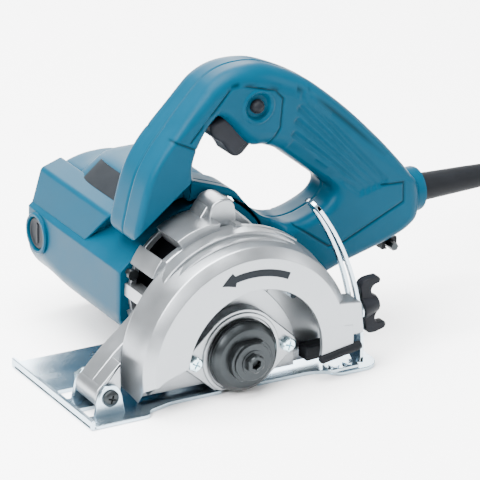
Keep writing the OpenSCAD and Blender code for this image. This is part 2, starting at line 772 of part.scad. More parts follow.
// Space below the handle's foot that the motor housing and castings fill
module body_under_handle() {
  rod_y(bump_r + gap, handle_near - 1, housing_y + gap, bump_x, bump_z);
  rod_y(ring_r + gap, handle_near - 1, housing_y + gap, motor_x, motor_z);
  along_y(handle_near - 1, handle_far + 1) polygon(concat(
    [for (i = [0 : 10]) grown(housing_outline, gap)[i]], [[-25, 0], [-70, 0], [-70, 38]]));
  along_y(handle_near - 1, handle_far + 1)
    polygon([[-90, 20], [-57, 20], [-57, 72], [-41.5, 83.6], [-54, 75]]);
}

// One half of the handle: side -1 faces the blade, side 1 the motor
module handle_half(side) {
  steps = [[0, 6, 0], [6, 3.5, 0.8], [9.5, 3.5, 2.4], [13, 2.5, 4.5], [15.5, 1.5, 6.5]];
  k = handle_w / 34;
  color("#147f9d") difference() {
    union() {
      for (s = steps) {
        a = handle_y + side * s[0] * k;
        b = handle_y + side * (s[0] + s[1]) * k;
        handle_slab(min(a, b), max(a, b), s[2]);
      }
      // collar round the cord guard
      intersection() {
        translate([128, handle_y, exit_z]) rotate([0, 90, 0]) cylinder(r = collar_r, h = exit_x - 128);
        translate([100, side > 0 ? handle_y : handle_y - 40, 0]) cube([60, 40, 120]);
      }
    }
    handle_hollows();
    body_under_handle();
    if (side < 0) {
      rod_y(lock_r + 0.15, handle_near - 5, handle_y, lock_x, lock_z);
      turned_y([[0, handle_near - 1], [8.6, handle_near - 1], [8.4, handle_near], [6.5, handle_near + 2],
        [0, handle_near + 2]], lock_x, lock_z);
    }
  }
}

module handle_blade_side() { handle_half(-1); }
module handle_motor_side() { handle_half(1); }

// Screws that pull the halves together, heads sunk in the motor side
module handle_screws() {
  color("#2a2d30") for (p = handle_screw_spots) difference() {
    turned_y([[0, handle_near + 6], [2, handle_near + 6], [2, handle_far - 4], [3.6, handle_far - 4],
      [3.6, handle_far - 1.6], [0, handle_far - 1.2]], p[0], p[1]);
    translate([p[0], handle_far, p[1]]) for (turn = [0, 90]) rotate([0, turn, 0])
      translate([-2, -2.6, -0.5]) cube([4, 4, 1]);
  }
}

// Trigger, squeezed up and back into the switch
module trigger() {
  color("#4a4d56") difference() {
    along_y(handle_y - trigger_w / 2, handle_y + trigger_w / 2)
      polygon([[1.5, 141], [4.5, 136.5], [8, 133], [11, 129], [13.5, 125.8], [17, 124.5], [20.5, 125.8],
        [28.5, 133.5], [29, 136], [9, 149.5], [5, 148]]);
    // thumb-smooth groove across the finger face
    translate([-2, handle_y - 20, 127]) rotate([-90, 0, 0]) cylinder(r = 9, h = 40);
  }
  color("#4a4d56") along_y(handle_y - 4, handle_y + 4)
    polygon([[13, 143], [19, 139], [22, 143.5], [16, 147.5]]);
}

// Lock button on the blade side
module lock_button() {
  color("#17181b") {
    rod_y(lock_r, handle_near + 1, handle_near + 6, lock_x, lock_z);
    translate([lock_x, handle_near + 1, lock_z]) difference() {
      sphere(r = lock_r);
      translate([-10, 0, -10]) cube([20, 20, 20]);
    }
  }
}

// Switch block above the trigger
module switch_body() {
  color("#2c2f33") translate([0, handle_y - 8, 0]) {
    along_y(0, 16) polygon([[8.5, 157.5], [15, 166.5], [34.5, 166], [45.5, 149], [42.5, 139.5],
      [28, 147.5]]);
  }
}

// Clamp that holds the lead behind the guard
module cord_clamp() {
  color("#2c2f33") difference() {
    translate([103, handle_y - 8, exit_z + cord_d / 2 - 0.5]) cube([11, 16, 5]);
    translate([95, handle_y, exit_z]) rotate([0, 90, 0]) cylinder(r = cord_d / 2 + 0.1, h = 30);
    for (s = [-1, 1]) translate([108.5, handle_y + s * 6, exit_z - 2]) cylinder(r = 1.3, h = 20);
  }
}

module clamp_screws() {
  color("#b9c2c8") for (s = [-1, 1]) translate([108.5, handle_y + s * 6, exit_z]) {
    translate([0, 0, 2]) cylinder(r = 1.2, h = cord_d / 2 + 3);
    translate([0, 0, cord_d / 2 + 4.5]) cylinder(r = 1.9, h = 1.6);
  }
}

// Tapered rubber guard round the lead
module cord_guard() {
  root = exit_x - 9;
  color("#1d2024") translate([0, handle_y, exit_z]) rotate([0, 90, 0]) difference() {
    union() {
      rotate_extrude() polygon([[0, root], [guard_root_r, root], [guard_root_r, exit_x + 4],
        [guard_tip_r, guard_end], [0, guard_end]]);
      translate([0, 0, root - 4.7]) cylinder(r = guard_root_r + 2, h = 5);
    }
  }
}

// Clip under the rear of the handle that keeps the hex wrench
module wrench_clip() {
  wide = 16;
  color("#1b1d20") difference() {
    translate([wrench_x - 5, handle_y - wide / 2, wrench_z - 3]) cube([10, wide, 6.4]);
    rod_y(2.5 + gap, handle_y - 30, handle_y + 40, wrench_x, wrench_z);
    translate([wrench_x - 1.8, handle_y - 20, wrench_z - 12]) cube([3.6, 50, 12]);
  }
}

// Hex wrench: long arm along Y in the clip, short arm forward
module hex_wrench() {
  reach = 62;
  arm = 26;
  color("#3b3e42") {
    translate([wrench_x, handle_y - 14, wrench_z]) rotate([-90, 0, 0]) cylinder(r = 2.5, h = reach, $fn = 6);
    translate([wrench_x, handle_y - 14 + reach - 2.5, wrench_z]) rotate([0, -90, 0])
      cylinder(r = 2.5, h = arm, $fn = 6);
  }
}

// ---- depth clamp ----

// Plastic wing on the clamp stud
module wing_grip() {
  color("#1a1d21") on_wing_axis(guide_out + 2.6) difference() {
    union() {
      cylinder(r = 7.2, h = 3);
      cylinder(r = 5.6, h = 11);
      for (s = [-1, 1]) {
        translate([s * 6, -2.6, 1.5]) cube([5, 5.2, 9.5], center = false);
        translate([s > 0 ? 5 : -wing_half, -2.6, 4]) cube([wing_half - 5, 5.2, 9]);
      }
    }
    translate([0, 0, -1]) cylinder(r = stud_r, h = 8);
  }
}

// Steel stud through the slot into the blade case
module wing_stud() {
  color("#c3ccd2") on_wing_axis(141) cylinder(r = stud_r, h = guide_out + 9.6 - 141);
}

// Washer between the wing and the guide
module guide_washer() {
  color("#c3ccd2") on_wing_axis(guide_out + 0.6) difference() {
    cylinder(r = 6.3, h = 1.4);
    translate([0, 0, -1]) cylinder(r = stud_r + seat, h = 4);
  }
}

// ---- spindle group ----

// Spindle, threaded inside its nose for the clamp bolt
module spindle() {
  bolt_r = 4;
  color("#a9b0b5") difference() {
    turned_y([[0, -2], [spindle_r, -2], [spindle_r, bearing_end + 0.5],
      [spindle_r + 0.8, bearing_end + 0.5], [spindle_r + 0.8, gear_end + 1],
      [journal_r, gear_end + 1.4], [journal_r, rear_bearing_y + rear_bearing_w],
      [0, rear_bearing_y + rear_bearing_w]], 0, spindle_z);
    rod_y(bolt_r, -3, 14, 0, spindle_z);
  }
}

module spindle_gear() {
  color("#8f969b") difference() {
    along_y(gear_y, gear_end) translate([0, spindle_z])
      polygon(gear_points(gear_teeth, gear_pitch, mesh_angle));
    rod_y(spindle_r + 0.8, gear_y - 1, gear_end + 1, 0, spindle_z);
    ring_y(gear_pitch - 4, spindle_r + 5, gear_y - 1, gear_y + 1.5, 0, spindle_z);
  }
}

// Inner flange with the step that centres the blade
module inner_flange() {
  step_t = 1.8;
  color("#2c2e33") difference() {
    turned_y([[0, -step_t], [arbor_r, -step_t], [arbor_r, 0], [flange_r - 3, 0.4], [flange_r - 3, 0],
      [flange_r, 0], [flange_r, inner_flange_t - 1], [flange_r - 1, inner_flange_t],
      [0, inner_flange_t]], 0, spindle_z);
    rod_y(spindle_r, -5, 10, 0, spindle_z);
  }
}

// Outer flange: stepped disc with two spanner flats
module outer_flange() {
  neck_r = 13;
  hub_y = -13;
  color("#26272b") difference() {
    turned_y([[0, -gap], [flange_r, -gap], [flange_r, -3.2], [17.5, -6.8], [neck_r, -7], [neck_r, -11.6],
      [neck_r - 1.6, -11.6], [neck_r - 1.6, hub_y], [0, hub_y]], 0, spindle_z);
    rod_y(arbor_r + 0.8, -2.6, 1, 0, spindle_z);
    rod_y(4.3, -20, 1, 0, spindle_z);
    for (s = [-1, 1]) translate([-20, -11.7, spindle_z + (s > 0 ? 11 : -21)]) cube([40, 4.6, 10]);
  }
}

// Hex-head clamp bolt with an internal hexagon
module hex_bolt() {
  tip = -16.8;
  color("#303136") difference() {
    union() {
      translate([0, tip, spindle_z]) rotate([-90, 0, 0]) cylinder(r = 6, h = -13 - tip, $fn = 6);
      rod_y(3.95, -13.5, 12, 0, spindle_z);
    }
    translate([0, tip - 1, spindle_z]) rotate([-90, 0, 0]) cylinder(r = 2.9, h = 4.2, $fn = 6);
  }
}

// ---- armature ----

// Armature shaft with its pinion cut on the near end
module armature_shaft() {
  color("#a9b0b5") {
    turned_y([[0, gear_end + 1], [shaft_r, gear_end + 1], [shaft_r, shaft_end - 6],
      [journal_r, shaft_end - 5.6],
      [journal_r, shaft_end], [0, shaft_end]], motor_x, motor_z);
    along_y(gear_y - 0.5, gear_end + 1.5) translate([motor_x, motor_z])
      polygon(gear_points(pinion_teeth, pinion_pitch, mesh_angle + 180 + 180 / pinion_teeth));
  }
}

module armature_core() {
  color("#75797d") difference() {
    rod_y(armature_r, core_y, core_end, motor_x, motor_z);
    rod_y(shaft_r, core_y - 1, core_end + 1, motor_x, motor_z);
    for (i = [0 : 11]) translate([motor_x, 0, motor_z]) rotate([0, i * 30, 0])
      translate([armature_r - 5, core_y - 1, -0.9]) cube([8, armature_len + 2, 1.8]);
  }
}

// Ends of the armature winding, either side of the core
module armature_windings() {
  color("#a8582a") for (y = [core_y - 9, core_end])
    ring_y(armature_r - 3, shaft_r + 0.5, y, y + 9, motor_x, motor_z);
}

module commutator() {
  color("#b87333") difference() {
    ring_y(comm_r, shaft_r, comm_y, comm_y + comm_len, motor_x, motor_z);
    for (i = [0 : 11]) translate([motor_x, 0, motor_z]) rotate([0, i * 30, 0])
      translate([comm_r - 1, comm_y + 2, -0.3]) cube([3, comm_len, 0.6]);
  }
}

module cooling_fan() {
  hub = 9;
  y0 = housing_y + 3;
  color("#dadcdc") difference() {
    union() {
      rod_y(hub, y0, y0 + 9, motor_x, motor_z);
      ring_y(36, hub - 1, y0, y0 + 1.8, motor_x, motor_z);
      for (i = [0 : 17]) translate([motor_x, 0, motor_z]) rotate([0, i * 20, 0])
        translate([16, y0, -0.8]) cube([20, 9, 1.6]);
    }
    rod_y(shaft_r, y0 - 1, y0 + 12, motor_x, motor_z);
  }
}

// ---- lead, coil, tie and plug ----

module cord() {
  color("#1b1c1e") tube_along(route, cord_d / 2);
  color("#1b1c1e") tube_along(tail, cord_d / 2);
}

// Space filled by the wound turns
module cord_coil() {
  color("#1b1c1e") translate([coil_x, coil_y, 0]) rotate_extrude()
    translate([coil_turn_r - coil_half, 0]) square([2 * coil_half, coil_h]);
}

// Tie strap round the turns
module cord_tie() {
  w = 8;
  t = 1.2;
  color("#3a3c40") difference() {
    translate([coil_x - coil_turn_r - coil_half - t, coil_y - w / 2, 0])
      cube([2 * (coil_half + t), w, coil_h + t]);
    cord_coil();
  }
}

// Flat two-pin plug, lying on the coil
module plug() {
  color("#1b1c1e") translate(plug_at) rotate([0, 0, plug_turn]) {
    rotate([0, 90, 0]) cylinder(r1 = 5, r2 = 6.5, h = 18);
    translate([16, -plug_w / 2, -plug_t / 2]) cube([plug_len - 16, plug_w, plug_t]);
  }
  color("#c8b46a") translate(plug_at) rotate([0, 0, plug_turn])
    for (s = [-1, 1]) translate([plug_len - 1, s * 9.5, 0]) rotate([0, 90, 0])
      cylinder(r = 2.2, h = pin_len + 1);
}

// Puts the origin on the underside of the sole, origin_y to the motor side of the blade seat.
module in_frame() {
  translate([0, -origin_y, 0]) children();
}

in_frame() base_plate();
in_frame() depth_guide();
in_frame() guide_rivets();
in_frame() pivot_screw();
in_frame() pivot_nut();
in_frame() blade_case();
in_frame() gear_housing();
in_frame() case_screws();
in_frame() bearing_box();
in_frame() bearing_box_screws();
in_frame() spindle_front_bearing();
in_frame() spindle_rear_bearing();
in_frame() dust_skirt();
in_frame() motor_housing();
in_frame() housing_screws();
in_frame() rating_plate();
in_frame() brush_holders();
in_frame() carbon_brushes();
in_frame() brush_springs();
in_frame() brush_caps();
in_frame() field_core();
in_frame() field_coils();
in_frame() air_baffle();
in_frame() armature_front_bearing();
in_frame() armature_rear_bearing();
in_frame() handle_blade_side();
in_frame() handle_motor_side();
in_frame() handle_screws();
in_frame() trigger();
in_frame() lock_button();
in_frame() switch_body();
in_frame() cord_clamp();
in_frame() clamp_screws();
in_frame() cord_guard();
in_frame() wrench_clip();
in_frame() hex_wrench();
in_frame() wing_grip();
in_frame() wing_stud();
in_frame() guide_washer();
in_frame() spindle();
in_frame() spindle_gear();
in_frame() inner_flange();
in_frame() outer_flange();
in_frame() hex_bolt();
in_frame() armature_shaft();
in_frame() armature_core();
in_frame() armature_windings();
in_frame() commutator();
in_frame() cooling_fan();
in_frame() cord();
in_frame() cord_coil();
in_frame() cord_tie();
in_frame() plug();
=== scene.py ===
import json
import math

import bmesh
import bpy
import numpy as np
from mathutils import Matrix, Vector


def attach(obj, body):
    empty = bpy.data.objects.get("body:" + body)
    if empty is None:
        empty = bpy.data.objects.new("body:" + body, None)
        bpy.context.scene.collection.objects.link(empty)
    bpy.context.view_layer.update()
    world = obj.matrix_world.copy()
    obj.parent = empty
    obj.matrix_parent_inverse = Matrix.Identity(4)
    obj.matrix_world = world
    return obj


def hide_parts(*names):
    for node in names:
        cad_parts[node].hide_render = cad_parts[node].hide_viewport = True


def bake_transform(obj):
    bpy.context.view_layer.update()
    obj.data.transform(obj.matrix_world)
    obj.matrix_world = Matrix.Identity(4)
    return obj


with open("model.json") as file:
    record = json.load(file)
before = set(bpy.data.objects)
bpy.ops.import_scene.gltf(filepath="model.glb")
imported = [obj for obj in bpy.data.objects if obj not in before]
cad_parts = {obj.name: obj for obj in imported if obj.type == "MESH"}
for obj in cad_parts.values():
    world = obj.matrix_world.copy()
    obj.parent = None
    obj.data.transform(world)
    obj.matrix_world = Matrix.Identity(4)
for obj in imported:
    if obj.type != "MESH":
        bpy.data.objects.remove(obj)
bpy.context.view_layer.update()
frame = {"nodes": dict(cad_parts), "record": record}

# ---------------------------------------------------------------------------
# Camera, floor and light. The saw stands on a pale, matt studio floor, under
# one large soft box overhead, a key at the left, one behind and a weak one at the right.
aim = np.array([-2.0, -38.8, 91.84])
azimuth, elevation, roll = math.radians(30.06), math.radians(22.13), math.radians(-1.03)
camera_distance = 2134.9
side = np.array([math.cos(azimuth), -math.sin(azimuth), 0.0])
back = np.array([-math.sin(azimuth) * math.cos(elevation),
                 -math.cos(azimuth) * math.cos(elevation), math.sin(elevation)])
upward = np.cross(back, side)
tilted_side = math.cos(roll) * side - math.sin(roll) * upward
tilted_up = math.sin(roll) * side + math.cos(roll) * upward
camera = bpy.data.objects.new("camera", bpy.data.cameras.new("camera"))
bpy.context.scene.collection.objects.link(camera)
camera.matrix_world = Matrix.Translation((aim + camera_distance * back) / 1000) @ Matrix(
    np.column_stack([tilted_side, tilted_up, back]).tolist()).to_4x4()
camera.data.lens, camera.data.sensor_width = 289.2, 36.0
camera.data.clip_start, camera.data.clip_end = 0.1, 50.0
bpy.context.scene.camera = camera


def soft_box(name, place, size, watts):
    """A square lamp at place, in metres, turned so that it faces the middle of the saw."""
    lamp = bpy.data.lights.new(name, "AREA")
    lamp.shape, lamp.size, lamp.energy = "SQUARE", size, watts
    box = bpy.data.objects.new(name, lamp)
    bpy.context.scene.collection.objects.link(box)
    box.location = place
    box.rotation_euler = (Vector(place) - Vector((0, 0.01, 0.08))).to_track_quat("Z", "Y").to_euler()


soft_box("overhead_box", (-0.25, 0.06, 1.6), 1.5, 185)
soft_box("key_box", (-1.35, -0.59, 1.2), 0.8, 75)
soft_box("back_box", (0.5, 1.66, 0.9), 1.2, 62)
soft_box("right_box", (1.3, -0.64, 0.6), 0.6, 12)
world = bpy.data.worlds.new("studio")
world.use_nodes = True
world.node_tree.nodes["Background"].inputs["Color"].default_value = (1, 1, 1, 1)
world.node_tree.nodes["Background"].inputs["Strength"].default_value = 0.7
bpy.context.scene.world = world


def linear(hex_colour):
    """sRGB hex to linear RGBA: c/12.92 below 0.04045, else ((c + 0.055)/1.055)^2.4."""
    c = np.array([int(hex_colour[i:i + 2], 16) for i in (1, 3, 5)]) / 255
    return tuple(np.where(c <= 0.04045, c / 12.92, ((c + 0.055) / 1.055) ** 2.4)) + (1.0,)


def add_node(tree, kind, settings=None, sockets=None, links=None):
    """Adds one node: its settings, the values of its sockets, and what feeds them."""
    made = tree.nodes.new(kind)
    for key, value in (settings or {}).items():
        setattr(made, key, value)
    for key, value in (sockets or {}).items():
        made.inputs[key].default_value = value
    for key, source in (links or {}).items():
        tree.links.new(source, made.inputs[key])
    return made


def finish_of(name, shade, light_shade, patch_mm, grain_mm, rough, rough_spread, relief_mm,
              metal=0.0, coat=0.0, ior=1.5, stretch=(1, 1, 1)):
    """A surface finish. Colour runs between two shades in cloudy patches of patch_mm, which also spread the
    roughness about its middle value; grain of grain_mm raises the surface by relief_mm."""
    made = bpy.data.materials.new(name)
    made.use_nodes = True
    tree = made.node_tree
    shader = tree.nodes["Principled BSDF"]
    place = add_node(tree, "ShaderNodeTexCoord").outputs["Object"]
    run = add_node(tree, "ShaderNodeMapping", None, {"Scale": stretch}, {"Vector": place}).outputs[0]
    patches = add_node(tree, "ShaderNodeTexNoise", None,
                       {"Scale": 1000 / patch_mm, "Detail": 4.0, "Roughness": 0.6}, {"Vector": run})
    grain = add_node(tree, "ShaderNodeTexNoise", None,
                     {"Scale": 1000 / grain_mm, "Detail": 2.0, "Roughness": 0.55}, {"Vector": run})
    colour = add_node(tree, "ShaderNodeMix", {"data_type": "RGBA"},
                      {6: linear(shade), 7: linear(light_shade)}, {0: patches.outputs["Fac"]})
    spread = add_node(tree, "ShaderNodeMapRange", None,
                      {"From Min": 0.3, "From Max": 0.7, "To Min": rough - rough_spread,
                       "To Max": rough + rough_spread}, {"Value": patches.outputs["Fac"]})
    bump = add_node(tree, "ShaderNodeBump", None, {"Distance": relief_mm / 1000, "Strength": 1.0},
                    {"Height": grain.outputs["Fac"]})
    tree.links.new(colour.outputs[2], shader.inputs["Base Color"])
    tree.links.new(spread.outputs[0], shader.inputs["Roughness"])
    tree.links.new(bump.outputs[0], shader.inputs["Normal"])
    shader.inputs["Metallic"].default_value = metal
    shader.inputs["Coat Weight"].default_value = coat
    if not metal:
        shader.inputs["IOR"].default_value = ior
        shader.inputs["Specular IOR Level"].default_value = 0.05
    return made


# Painted studio floor: white emulsion, faintly mottled, with no gloss
floor_mesh = bpy.data.meshes.new("studio_floor")
floor_mesh.from_pydata([(-6, -6, -0.0002), (6, -6, -0.0002), (6, 8, -0.0002), (-6, 8, -0.0002)],
                       [], [(0, 1, 2, 3)])
floor = bpy.data.objects.new("studio_floor", floor_mesh)
bpy.context.scene.collection.objects.link(floor)
floor_mesh.materials.append(finish_of("white_emulsion", "#FCFCFC", "#FEFEFE", 60, 2, 0.9, 0.02, 0.001))

# ---------------------------------------------------------------------------
# Mains lead. 1.93 metres of round rubber lead, 8 mm thick. It leaves the guard
# straight to the rear, drops to the ground and is wound in two layers.
lead_d = 8.0
# every length below is in millimetres from the plane the blade seats on; the
# origin is this far from it
seat_to_origin = np.array([0.0, 40.0, 0.0])


def shell(name, rings, wrap=False, sharp=35, bevel=0.0):
    """A closed skin over a stack of rings, rings[i, j] in millimetres from the blade seat:
    neighbours i and i+1 and j and j+1 join in quads, j always wraps, and i wraps or gets one
    face at each end."""
    rings = np.asarray(rings, float)
    n, m = rings.shape[:2]
    i, j = np.arange(n if wrap else n - 1)[:, None], np.arange(m)[None, :]
    quads = np.stack([i * m + j, i * m + (j + 1) % m,
                      (i + 1) % n * m + (j + 1) % m, (i + 1) % n * m + j], -1).reshape(-1, 4).tolist()
    if not wrap:
        quads += [list(range(m))[::-1], list(range((n - 1) * m, n * m))]
    mesh = bpy.data.meshes.new(name)
    mesh.from_pydata(((rings.reshape(-1, 3) - seat_to_origin) / 1000).tolist(), [], quads)
    return settle(name, mesh, sharp, bevel)


def settle(name, mesh, sharp=35, bevel=0.0):
    """Merges doubled points, turns faces outwards, smooths all but sharp edges, and links the piece."""
    work = bmesh.new()
    work.from_mesh(mesh)
    bmesh.ops.remove_doubles(work, verts=work.verts, dist=2e-6)
    bmesh.ops.dissolve_degenerate(work, edges=work.edges, dist=1e-6)
    bmesh.ops.recalc_face_normals(work, faces=work.faces)
    work.to_mesh(mesh)
    work.free()
    mesh.polygons.foreach_set("use_smooth", np.ones(len(mesh.polygons), bool))
    mesh.set_sharp_from_angle(angle=math.radians(sharp))
    made = bpy.data.objects.new(name, mesh)
    bpy.context.scene.collection.objects.link(made)
    if bevel:
        edge = made.modifiers.new("edge", "BEVEL")
        edge.width, edge.segments, edge.limit_method = bevel / 1000, 2, "ANGLE"
        edge.angle_limit = math.radians(32)
    made.modifiers.new("even", "WEIGHTED_NORMAL").keep_sharp = True
    return made


def join(name, *parts):
    """Several closed shells of one moulding or casting, made one piece."""
    work = bmesh.new()
    for part in parts:
        solid = bpy.data.meshes.new_from_object(
            part.evaluated_get(bpy.context.evaluated_depsgraph_get()))
        work.from_mesh(solid)
        bpy.data.objects.remove(part)
    mesh = bpy.data.meshes.new(name)
    work.to_mesh(mesh)
    work.free()
    mesh.polygons.foreach_set("use_smooth", np.ones(len(mesh.polygons), bool))
    mesh.set_sharp_from_angle(angle=math.radians(35))
    made = bpy.data.objects.new(name, mesh)
    bpy.context.scene.collection.objects.link(made)
    made.modifiers.new("even", "WEIGHTED_NORMAL").keep_sharp = True
    return made


def cut(piece, *tools):
    """Takes the tools' volumes out of the piece, and removes the tools."""
    for tool in tools:
        step = piece.modifiers.new("cut", "BOOLEAN")
        step.operation, step.solver, step.object = "DIFFERENCE", "EXACT", tool
    bpy.context.view_layer.update()
    mesh = bpy.data.meshes.new_from_object(
        piece.evaluated_get(bpy.context.evaluated_depsgraph_get()))
    name = piece.name
    bpy.data.objects.remove(piece)
    for tool in tools:
        bpy.data.objects.remove(tool)
    mesh.name = name
    mesh.polygons.foreach_set("use_smooth", np.ones(len(mesh.polygons), bool))
    mesh.set_sharp_from_angle(angle=math.radians(35))
    made = bpy.data.objects.new(name, mesh)
    bpy.context.scene.collection.objects.link(made)
    made.modifiers.new("even", "WEIGHTED_NORMAL").keep_sharp = True
    return made


def tube(name, path, radius, sides=20):
    """A round bar about a path: ring i is the circle radius * (cos a * s + sin a * u), where s
    and u are square to the path's direction. radius may be one value or one for each point."""
    path = np.asarray(path, float)
    along = np.gradient(path, axis=0)
    along /= np.linalg.norm(along, axis=1)[:, None]
    flat = np.cross([0.0, 0.0, 1.0], along)
    flat[np.linalg.norm(flat, axis=1) < 0.05] = [0.0, 1.0, 0.0]
    flat /= np.linalg.norm(flat, axis=1)[:, None]
    up = np.cross(along, flat)
    turn = np.linspace(0, 2 * np.pi, sides, endpoint=False)[None, :, None]
    r = np.broadcast_to(np.asarray(radius, float), len(path))[:, None, None]
    return shell(name, path[:, None] + r * (np.cos(turn) * flat[:, None] + np.sin(turn) * up[:, None]))


def through(points, steps):
    """A smooth line through points (Catmull-Rom): 0.5 (2b + (c-a)t + (2a-5b+4c-d)t2 + (3b-a-3c+d)t3)."""
    p = np.asarray(points, float)
    p = np.vstack([2 * p[0] - p[1], p, 2 * p[-1] - p[-2]])
    a, b, c, d = (p[k:len(p) - 3 + k, None] for k in range(4))
    t = np.linspace(0, 1, steps, endpoint=False)[None, :, None]
    line = 0.5 * (2 * b + (c - a) * t + (2 * a - 5 * b + 4 * c - d) * t**2
                  + (3 * b - a - 3 * c + d) * t**3)
    return np.vstack([line.reshape(-1, p.shape[1]), p[-2:-1]])


def ease(x):
    """Smooth step: 0 below 0, 1 above 1, and 3x2 - 2x3 between."""
    x = np.clip(x, 0, 1)
    return x * x * (3 - 2 * x)


route = [(194, 48.5, 80.5), (202, 48.5, 80.5), (210, 48.5, 80.5), (219, 48.5, 79),
         (227, 48.5, 75.5), (234, 48.5, 70), (239.5, 48.5, 62.5), (242.5, 48.5, 54),
         (243, 48.5, 45), (243, 48.5, 38), (244.5, 48.5, 29), (248.5, 48.5, 20.5),
         (254.5, 48.5, 13), (262, 48.5, 7.5), (270, 48.5, 4.5), (279, 48.5, 4), (289, 48.5, 4),
         (298, 48.5, 4)]
tail = [(349.5, 104, 20), (348, 112, 20.5), (344, 119.5, 21.5), (338, 125.5, 22.7),
        (330.5, 129.5, 23.5), (322, 131, 23.8), (314, 130.5, 23.8)]
coil_centre, outer_turn = np.array([298.0, 100.0]), 51.5
angle = np.radians(np.arange(-84, -90 + 360 * 6 + 92, 6))
turned_by = np.degrees(angle) + 90
# the radius steps in by one lead at each of two turns, stays, then steps out again
inward = sum(ease((turned_by - 360 * k + 70) / 70) for k in (1, 2))
outward = sum(ease((turned_by - 360 * k + 70) / 70) for k in (4, 5))
coil_radius = outer_turn - lead_d * (inward - outward)
coil_height = lead_d / 2 + lead_d * (ease((turned_by - 3 * 360 + 150) / 80)
                                     + ease((turned_by - 6 * 360 + 60) / 60))
turns = np.column_stack([coil_centre + coil_radius[:, None]
                         * np.column_stack([np.cos(angle), np.sin(angle)]), coil_height])
lead_line = np.vstack([through(route, 4)[:-1], turns, through(tail, 4)[4:]])
# moulded rubber: near black, with only a soft, wide shine
rubber = finish_of("moulded_rubber", "#0E0F11", "#15171A", 9, 0.5, 0.52, 0.06, 0.02)
lead = tube("mains_lead", lead_line, lead_d / 2, 16)
lead.data.materials.append(rubber)
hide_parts("cord", "cord_coil")

# ---------------------------------------------------------------------------
# Cord guard, tie and plug. The guard is a tapered rubber sleeve held in the
# handle; a nylon strap keeps the coil; the plug is moulded on, flat, two pins.
handle_mid, exit_height = 48.5, 80.5


def ring_about_x(x, radius, n=64):
    """A circle of that radius about the lead's exit line, at x."""
    t = np.linspace(0, 2 * np.pi, n, endpoint=False)
    return np.column_stack([np.full(n, float(x)), handle_mid + radius * np.cos(t),
                            exit_height + radius * np.sin(t)])


guard = shell("cord_guard", [ring_about_x(x, r) for x, r in (
    (129.4, 8.6), (129.4, 11), (134.2, 11), (134.2, 9), (142, 9), (143.5, 8.6), (145, 8.3),
    (160, 7.8), (178, 7.2), (190, 6.6), (193, 6.3), (194, 5.6), (194, 4.1))])
guard.data.materials.append(rubber)
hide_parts("cord_guard")
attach(guard, "tool")


def box_ring(x0, x1, y0, y1, r, z, n=8):
    """A rectangle with corners of radius r, at height z, n points to a corner."""
    t = np.linspace(0, np.pi / 2, n)
    corners = [(x1 - r, y1 - r, 0), (x0 + r, y1 - r, 1), (x0 + r, y0 + r, 2), (x1 - r, y0 + r, 3)]
    return np.vstack([np.column_stack([cx + r * np.cos(t + q * np.pi / 2),
                                       cy + r * np.sin(t + q * np.pi / 2), np.full(n, float(z))])
                      for cx, cy, q in corners])


plug_at, plug_turn = np.array([314.0, 130.5, 23.8]), math.radians(177)
plug_way = np.array([math.cos(plug_turn), math.sin(plug_turn), 0.0])
plug_side = np.array([-plug_way[1], plug_way[0], 0.0])


def plug_ring(t, half_w, half_h, power=3.0, n=40):
    """A rounded section of the plug, t along it: a superellipse |y/w|^p + |z/h|^p = 1."""
    a = np.linspace(0, 2 * np.pi, n, endpoint=False)
    y = half_w * np.sign(np.cos(a)) * np.abs(np.cos(a)) ** (2 / power)
    z = half_h * np.sign(np.sin(a)) * np.abs(np.sin(a)) ** (2 / power)
    return plug_at + t * plug_way + y[:, None] * plug_side + z[:, None] * [0, 0, 1.0]


plug_body = shell("plug_body", [plug_ring(*s) for s in (
    (0, 4.2, 4.2, 2), (0, 5, 5, 2), (6, 5.3, 5.3, 2), (7, 4.8, 4.8, 2), (9, 4.8, 4.8, 2),
    (10, 5.8, 5.6, 2), (16, 8, 6.2, 2.4), (20, 13.5, 6.9), (26, 16.3, 7.3), (34, 16.8, 7.4),
    (40.5, 16.5, 7.2), (42, 15.6, 6.5))])
plug_body.data.materials.append(rubber)
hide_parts("plug")
# nickelled brass: warm white metal with a clear shine
brass = finish_of("nickelled_brass", "#C9C2AE", "#D8D3C4", 4, 0.4, 0.25, 0.05, 0.004, metal=1.0)
pins = []
for offset in (-9.5, 9.5):
    foot = plug_at + offset * plug_side + 41 * plug_way
    pins.append(tube("pin", [foot, foot + 18 * plug_way, foot + 19.4 * plug_way,
                             foot + 20 * plug_way], [2.2, 2.2, 1.8, 0.9]))
plug_pins = join("plug_pins", *pins)
plug_pins.data.materials.append(brass)
tie_x = coil_centre[0] - 43.5
strap = box_ring(tie_x - 13.1, tie_x + 13.1, 0, 17.1, 2, 0)[:, [0, 2, 1]]
inner_strap = box_ring(tie_x - 12.1, tie_x + 12.1, 0.1, 16.1, 1.6, 0)[:, [0, 2, 1]]
band = np.stack([p + [0, y, 0] for p, y in (
    (strap, coil_centre[1] - 4), (strap, coil_centre[1] + 4),
    (inner_strap, coil_centre[1] + 4), (inner_strap, coil_centre[1] - 4))])
tie = shell("coil_tie", band, wrap=True)
# moulded nylon: black and finely textured, dull but for its rounded edges
nylon = finish_of("moulded_nylon", "#101114", "#181A1E", 7, 0.35, 0.42, 0.06, 0.012)
tie.data.materials.append(nylon)
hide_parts("cord_tie")
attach(tie, "base")
for piece in (plug_body, plug_pins):
    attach(piece, "base")
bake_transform(lead)

# ---------------------------------------------------------------------------
# Sole. One sheet of steel, 2.2 mm, blanked and zinc plated: its front edge and
# two pivot lugs are bent up, and windows are left where the lugs came from.
sheet = 2.2
pivot = np.array([-82.0, 12.0])


